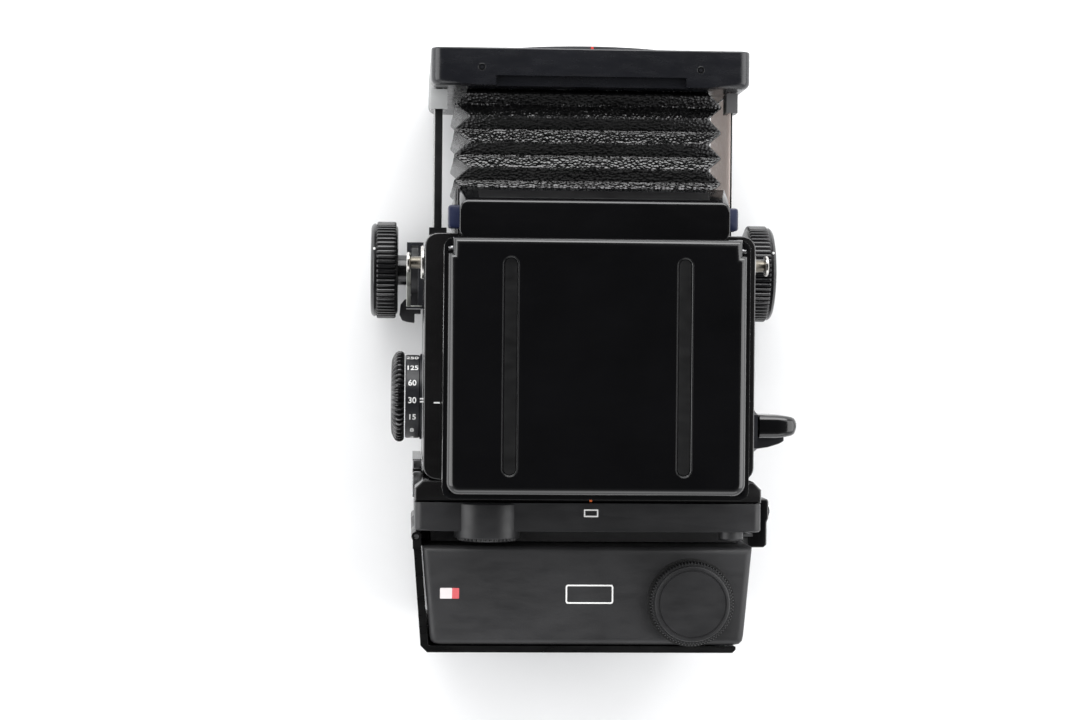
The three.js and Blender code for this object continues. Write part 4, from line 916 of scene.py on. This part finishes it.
def lock_lever():
    (x0, x1), (y0, y1), (z0, z1) = box_of("focus_lock_lever")
    shaft = (y1 - 8, z1 - 8)
    bm = bmesh.new()
    collar = [(x1 - 4, 3.5), (x1 - 4, 7.6), (x1 - 3.6, 8.0), (x1 - 0.4, 8.0), (x1, 7.6), (x1, 3.5)]
    turned(bm, "x", shaft, collar, 64, looped=True)
    arm = [(y0 + 3, z0 + 3), (shaft[0] - 5, shaft[1] - 5), (shaft[0] - 6.5, shaft[1] + 3), (y0 + 3, z0 + 9)]
    prism(bm, "x", arm, x1 - 3.6, x1 - 0.4)
    tab = [
        (x0, y0 + 2.6), (x0 + 0.3, y0 + 6.0), (x0 + 1.9, y0 + 8.0), (x0 + 3.3, y0 + 7.0),
        (x1 - 0.6, y0 + 6.6), (x1 - 0.6, y0 + 3.2), (x0 + 5.0, y0 + 3.2), (x0 + 5.0, y0),
        (x0 + 2.6, y0 + 0.3), (x0 + 0.9, y0 + 0.8),
    ]
    prism(bm, "z", tab, z0 + 0.5, z0 + 9.5)
    shown("lock_thumb_piece", bm, moulded_black, "focus_lock", ["focus_lock_lever"], edge=0.35)


def scale_plate(sign, node):
    """A focusing chart: a dark sheet ruled with white curves outside, the right one printed pale inside and
    shining faintly there as painted light.
    """
    (x0, x1), (y0, y1), (z0, z1) = box_of(node)
    outer, inner = (x0, x1) if sign < 0 else (x1, x0)
    sheet = bmesh.new()
    prism(sheet, "x", rounded((y0, y1), (z0, z1), 1.0, 4), x0, x1)
    if sign > 0:
        # the right plate's inner face gets the pale print, which shines faintly as painted light
        tint(sheet, 1, lambda x, y, z: near(x, inner))
    piece = shown(node + "_sheet", sheet, plate_black, "front_standard", [node], edge=0.1)
    piece.data.materials.append(printed_plate)
    chart = bmesh.new()
    skin_deep = sorted((outer - sign * 0.05, outer + sign * 0.03))
    for k in range(7):
        low, high = z0 + 4 + 5.5 * k, z0 + 7.5 + 5.5 * k
        ruled = []
        for lift in (0.0, 0.28):
            points = []
            for i in range(19):
                y = y0 + 30 + (y1 - y0 - 34) * i / 18
                points.append((y, low + (high - low) * (i / 18) ** (1.0 + 0.35 * k) + lift))
            ruled.append(points)
        prism(chart, "x", ruled[0] + ruled[1][::-1], *skin_deep)
    for k in range(8):
        y = y0 + 31 + (y1 - y0 - 36) * k / 7
        tick = [(y, z1 - 5.5), (y + 0.28, z1 - 5.5), (y + 0.28, z1 - 2.5), (y, z1 - 2.5)]
        prism(chart, "x", tick, *skin_deep)
    shown(node + "_chart", chart, white_paint, "front_standard")


def finder_buttons():
    for side in ("left", "right"):
        name = "finder_button_" + side
        (x0, x1), (y0, y1), (z0, z1) = box_of(name)
        rings = []
        for z, inset in ((z0, 0.5), (z0 + 0.5, 0.0), (z1 - 0.6, 0.0), (z1 - 0.2, 0.2), (z1, 0.6)):
            outline = rounded((x0 + inset, x1 - inset), (y0 + inset, y1 - inset), 0.9, 4)
            rings.append([(u, v, z) for u, v in outline])
        bm = bmesh.new()
        skin(bm, rings)
        shown(name + "_cap", bm, navy_plastic, "finder_release_" + side, [name])


def lens_mount():
    top = box_of("front_plate")[2][1]
    bm = bmesh.new()
    for x in (-33, 33):
        screw(bm, top - 0.1, (x, 89.6), 1.25)
    shown("plate_screws", bm, gloss_black, "front_standard")
    _, (y0, y1), (z0, z1) = box_of("lens_mount_ring")
    rim, centre_z = (z1 - z0) / 2, (z0 + z1) / 2
    profile = [
        (y0, 31.5), (y0, rim), (y1 - 0.35, rim), (y1 - 0.1, rim - 0.1), (y1, rim - 0.35), (y1, 31.0),
        (y1 - 0.3, 30.6), (y0 + 0.2, 30.6),
    ]
    ring = bmesh.new()
    turned(ring, "y", (0, centre_z), profile, 96, looped=True)
    tint(ring, 1, lambda x, y, z: math.hypot(x, z - centre_z) < rim - 0.5)
    piece = shown("mount_ring", ring, satin_black, "front_standard", ["lens_mount_ring"])
    piece.data.materials.append(chrome)
    dot = bmesh.new()
    turned(dot, "z", (0.6, (y0 + y1) / 2), [(z1 - 0.4, 0.6), (z1 - 0.03, 0.6), (z1 - 0.01, 0.4)], 16)
    shown("lens_index", dot, red_paint, "front_standard")


def outlined(name, top, x, y, corner, line, inner_corner, steps):
    """A white rectangle, drawn as a line this wide on a top face of the back."""
    inner = rounded((x[0] + line, x[1] - line), (y[0] + line, y[1] - line), inner_corner, steps)
    mark = bmesh.new()
    frame_of(mark, "z", rounded(x, y, corner, steps), inner, top - 0.2, top + 0.03)
    shown(name, mark, white_paint, "revolving_back")


def top_marks():
    top = box_of("rear_frame")[2][1]
    dot = bmesh.new()
    turned(dot, "z", (0.6, -40.15), [(top - 0.3, 0.42), (top + 0.04, 0.42), (top + 0.06, 0.3)], 16)
    shown("back_index", dot, orange_paint, "camera_body")
    outlined("format_mark", box_of("adapter_plate")[2][1], (-1.6, 2.7), (-44.9, -42.6), 0.15, 0.4, 0.1, 2)
    top = box_of("holder_shell")[2][1]
    outlined("film_badge", top, (-6.6, 7.7), (-71.1, -65.4), 0.7, 0.45, 0.4, 4)
    labels = (("label_white", (-44.2, -40.6), label_white), ("label_red", (-40.6, -38.5), label_red))
    for name, x, paint in labels:
        label = bmesh.new()
        prism(label, "z", rounded(x, (-69.7, -66.5), 0.2, 2), top - 0.2, top + 0.06)
        shown(name, label, paint, "revolving_back")
    dash = bmesh.new()
    top = box_of("body_shell")[2][1]
    prism(dash, "z", [(-46.6, -11.4), (-44.8, -11.4), (-44.8, -11.0), (-46.6, -11.0)], top - 0.2, top + 0.03)
    shown("dial_index", dash, white_paint, "camera_body")


def boss_outline():
    """The arch over the release dial, from its outer line round and back along its inner line."""
    (x0, x1), _, (z0, z1) = box_of("holder_dial")
    middle, height, reach = (x0 + x1) / 2, (z0 + z1) / 2, (x1 - x0) / 2
    arch = []
    for radius, turns in ((reach + 1.0, range(25)), (reach + 0.15, range(24, -1, -1))):
        for i in turns:
            angle = math.pi * (0.02 + 0.96 * i / 24)
            across = math.copysign(abs(math.cos(angle)) ** 0.75, math.cos(angle))
            arch.append((middle + radius * across, height + radius * math.sin(angle) ** 0.85))
    return arch


def back_latches():
    tab = bmesh.new()
    turned(tab, "y", (43.3, 100.4), [(-49.3, 3.7), (-51.5, 3.7), (-52.0, 3.3), (-52.0, 0.4)], 40)
    shown("latch_tab", tab, knob_plastic, "revolving_back")
    boss = bmesh.new()
    prism(boss, "y", boss_outline(), box_of("holder_dial")[1][0] + 1.0, -41.2)
    shown("boss_arch", boss, adapter_black, "revolving_back", edge=0.35)
    wing = bmesh.new()
    for y in ((-40.5, -32.8), (-32.0, -29.2)):
        prism(wing, "z", rounded((-52.6, -49.9), y, 0.5, 3), 82.3, 82.9)
    shown("wing_caps", wing, steel, "camera_body", edge=0.15)


strap_lug(-1, "strap_lug_left")
strap_lug(1, "strap_lug_right")
shoe_rails()
slide_handle()
cocking_finger()
lock_lever()
finder_buttons()
scale_plate(-1, "scale_plate_left")
scale_plate(1, "scale_plate_right")
lens_mount()
top_marks()
back_latches()


# ---------- CAD pieces that keep their shape ----------
dress(matte_black, 0.4, "base_plate", "battery_cover", "slide_frame")
dress(satin_black, 0.3, "accessory_shoe", "cocking_lever_arm", "release_collar")
dress(frosted, 0.3, "plate_bracket_left")
dress(bracket_grey, 0.3, "plate_bracket_right")
dress(plate_black, 0.1, "plate_guide_left")
dress(inner_black, 0.2, "screen_frame", "hood_side_panel_left", "hood_side_panel_right", "hood_rear_panel",
      "magnifier_frame", "mirror_frame", "film_insert", "take_up_spool", "supply_spool")
dress(chrome, 0.2, "shutter_button", "film_roller_left", "film_roller_right")
dress(clear_glass, 0.0, "focusing_screen", "magnifier_lens")
dress(mirror_silver, 0.0, "mirror_glass")
for name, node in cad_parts.items():
    if not node.modifiers and not node.hide_render:
        dress(steel, 0.2, name)


# ---------- Floor ----------
def floor():
    mesh = bpy.data.meshes.new("floor")
    reach = 4
    corners_of_floor = [(-reach, -reach, 0), (reach, -reach, 0), (reach, reach, 0), (-reach, reach, 0)]
    mesh.from_pydata(corners_of_floor, [], [(0, 1, 2, 3)])
    paper = painted("floor_paper", (0.80, 0.803, 0.808), 0.8, grain=900, relief=0.05, mottle=0.01)
    made = bpy.data.objects.new("floor", mesh)
    made.data.materials.append(paper)
    scene.collection.objects.link(made)


floor()
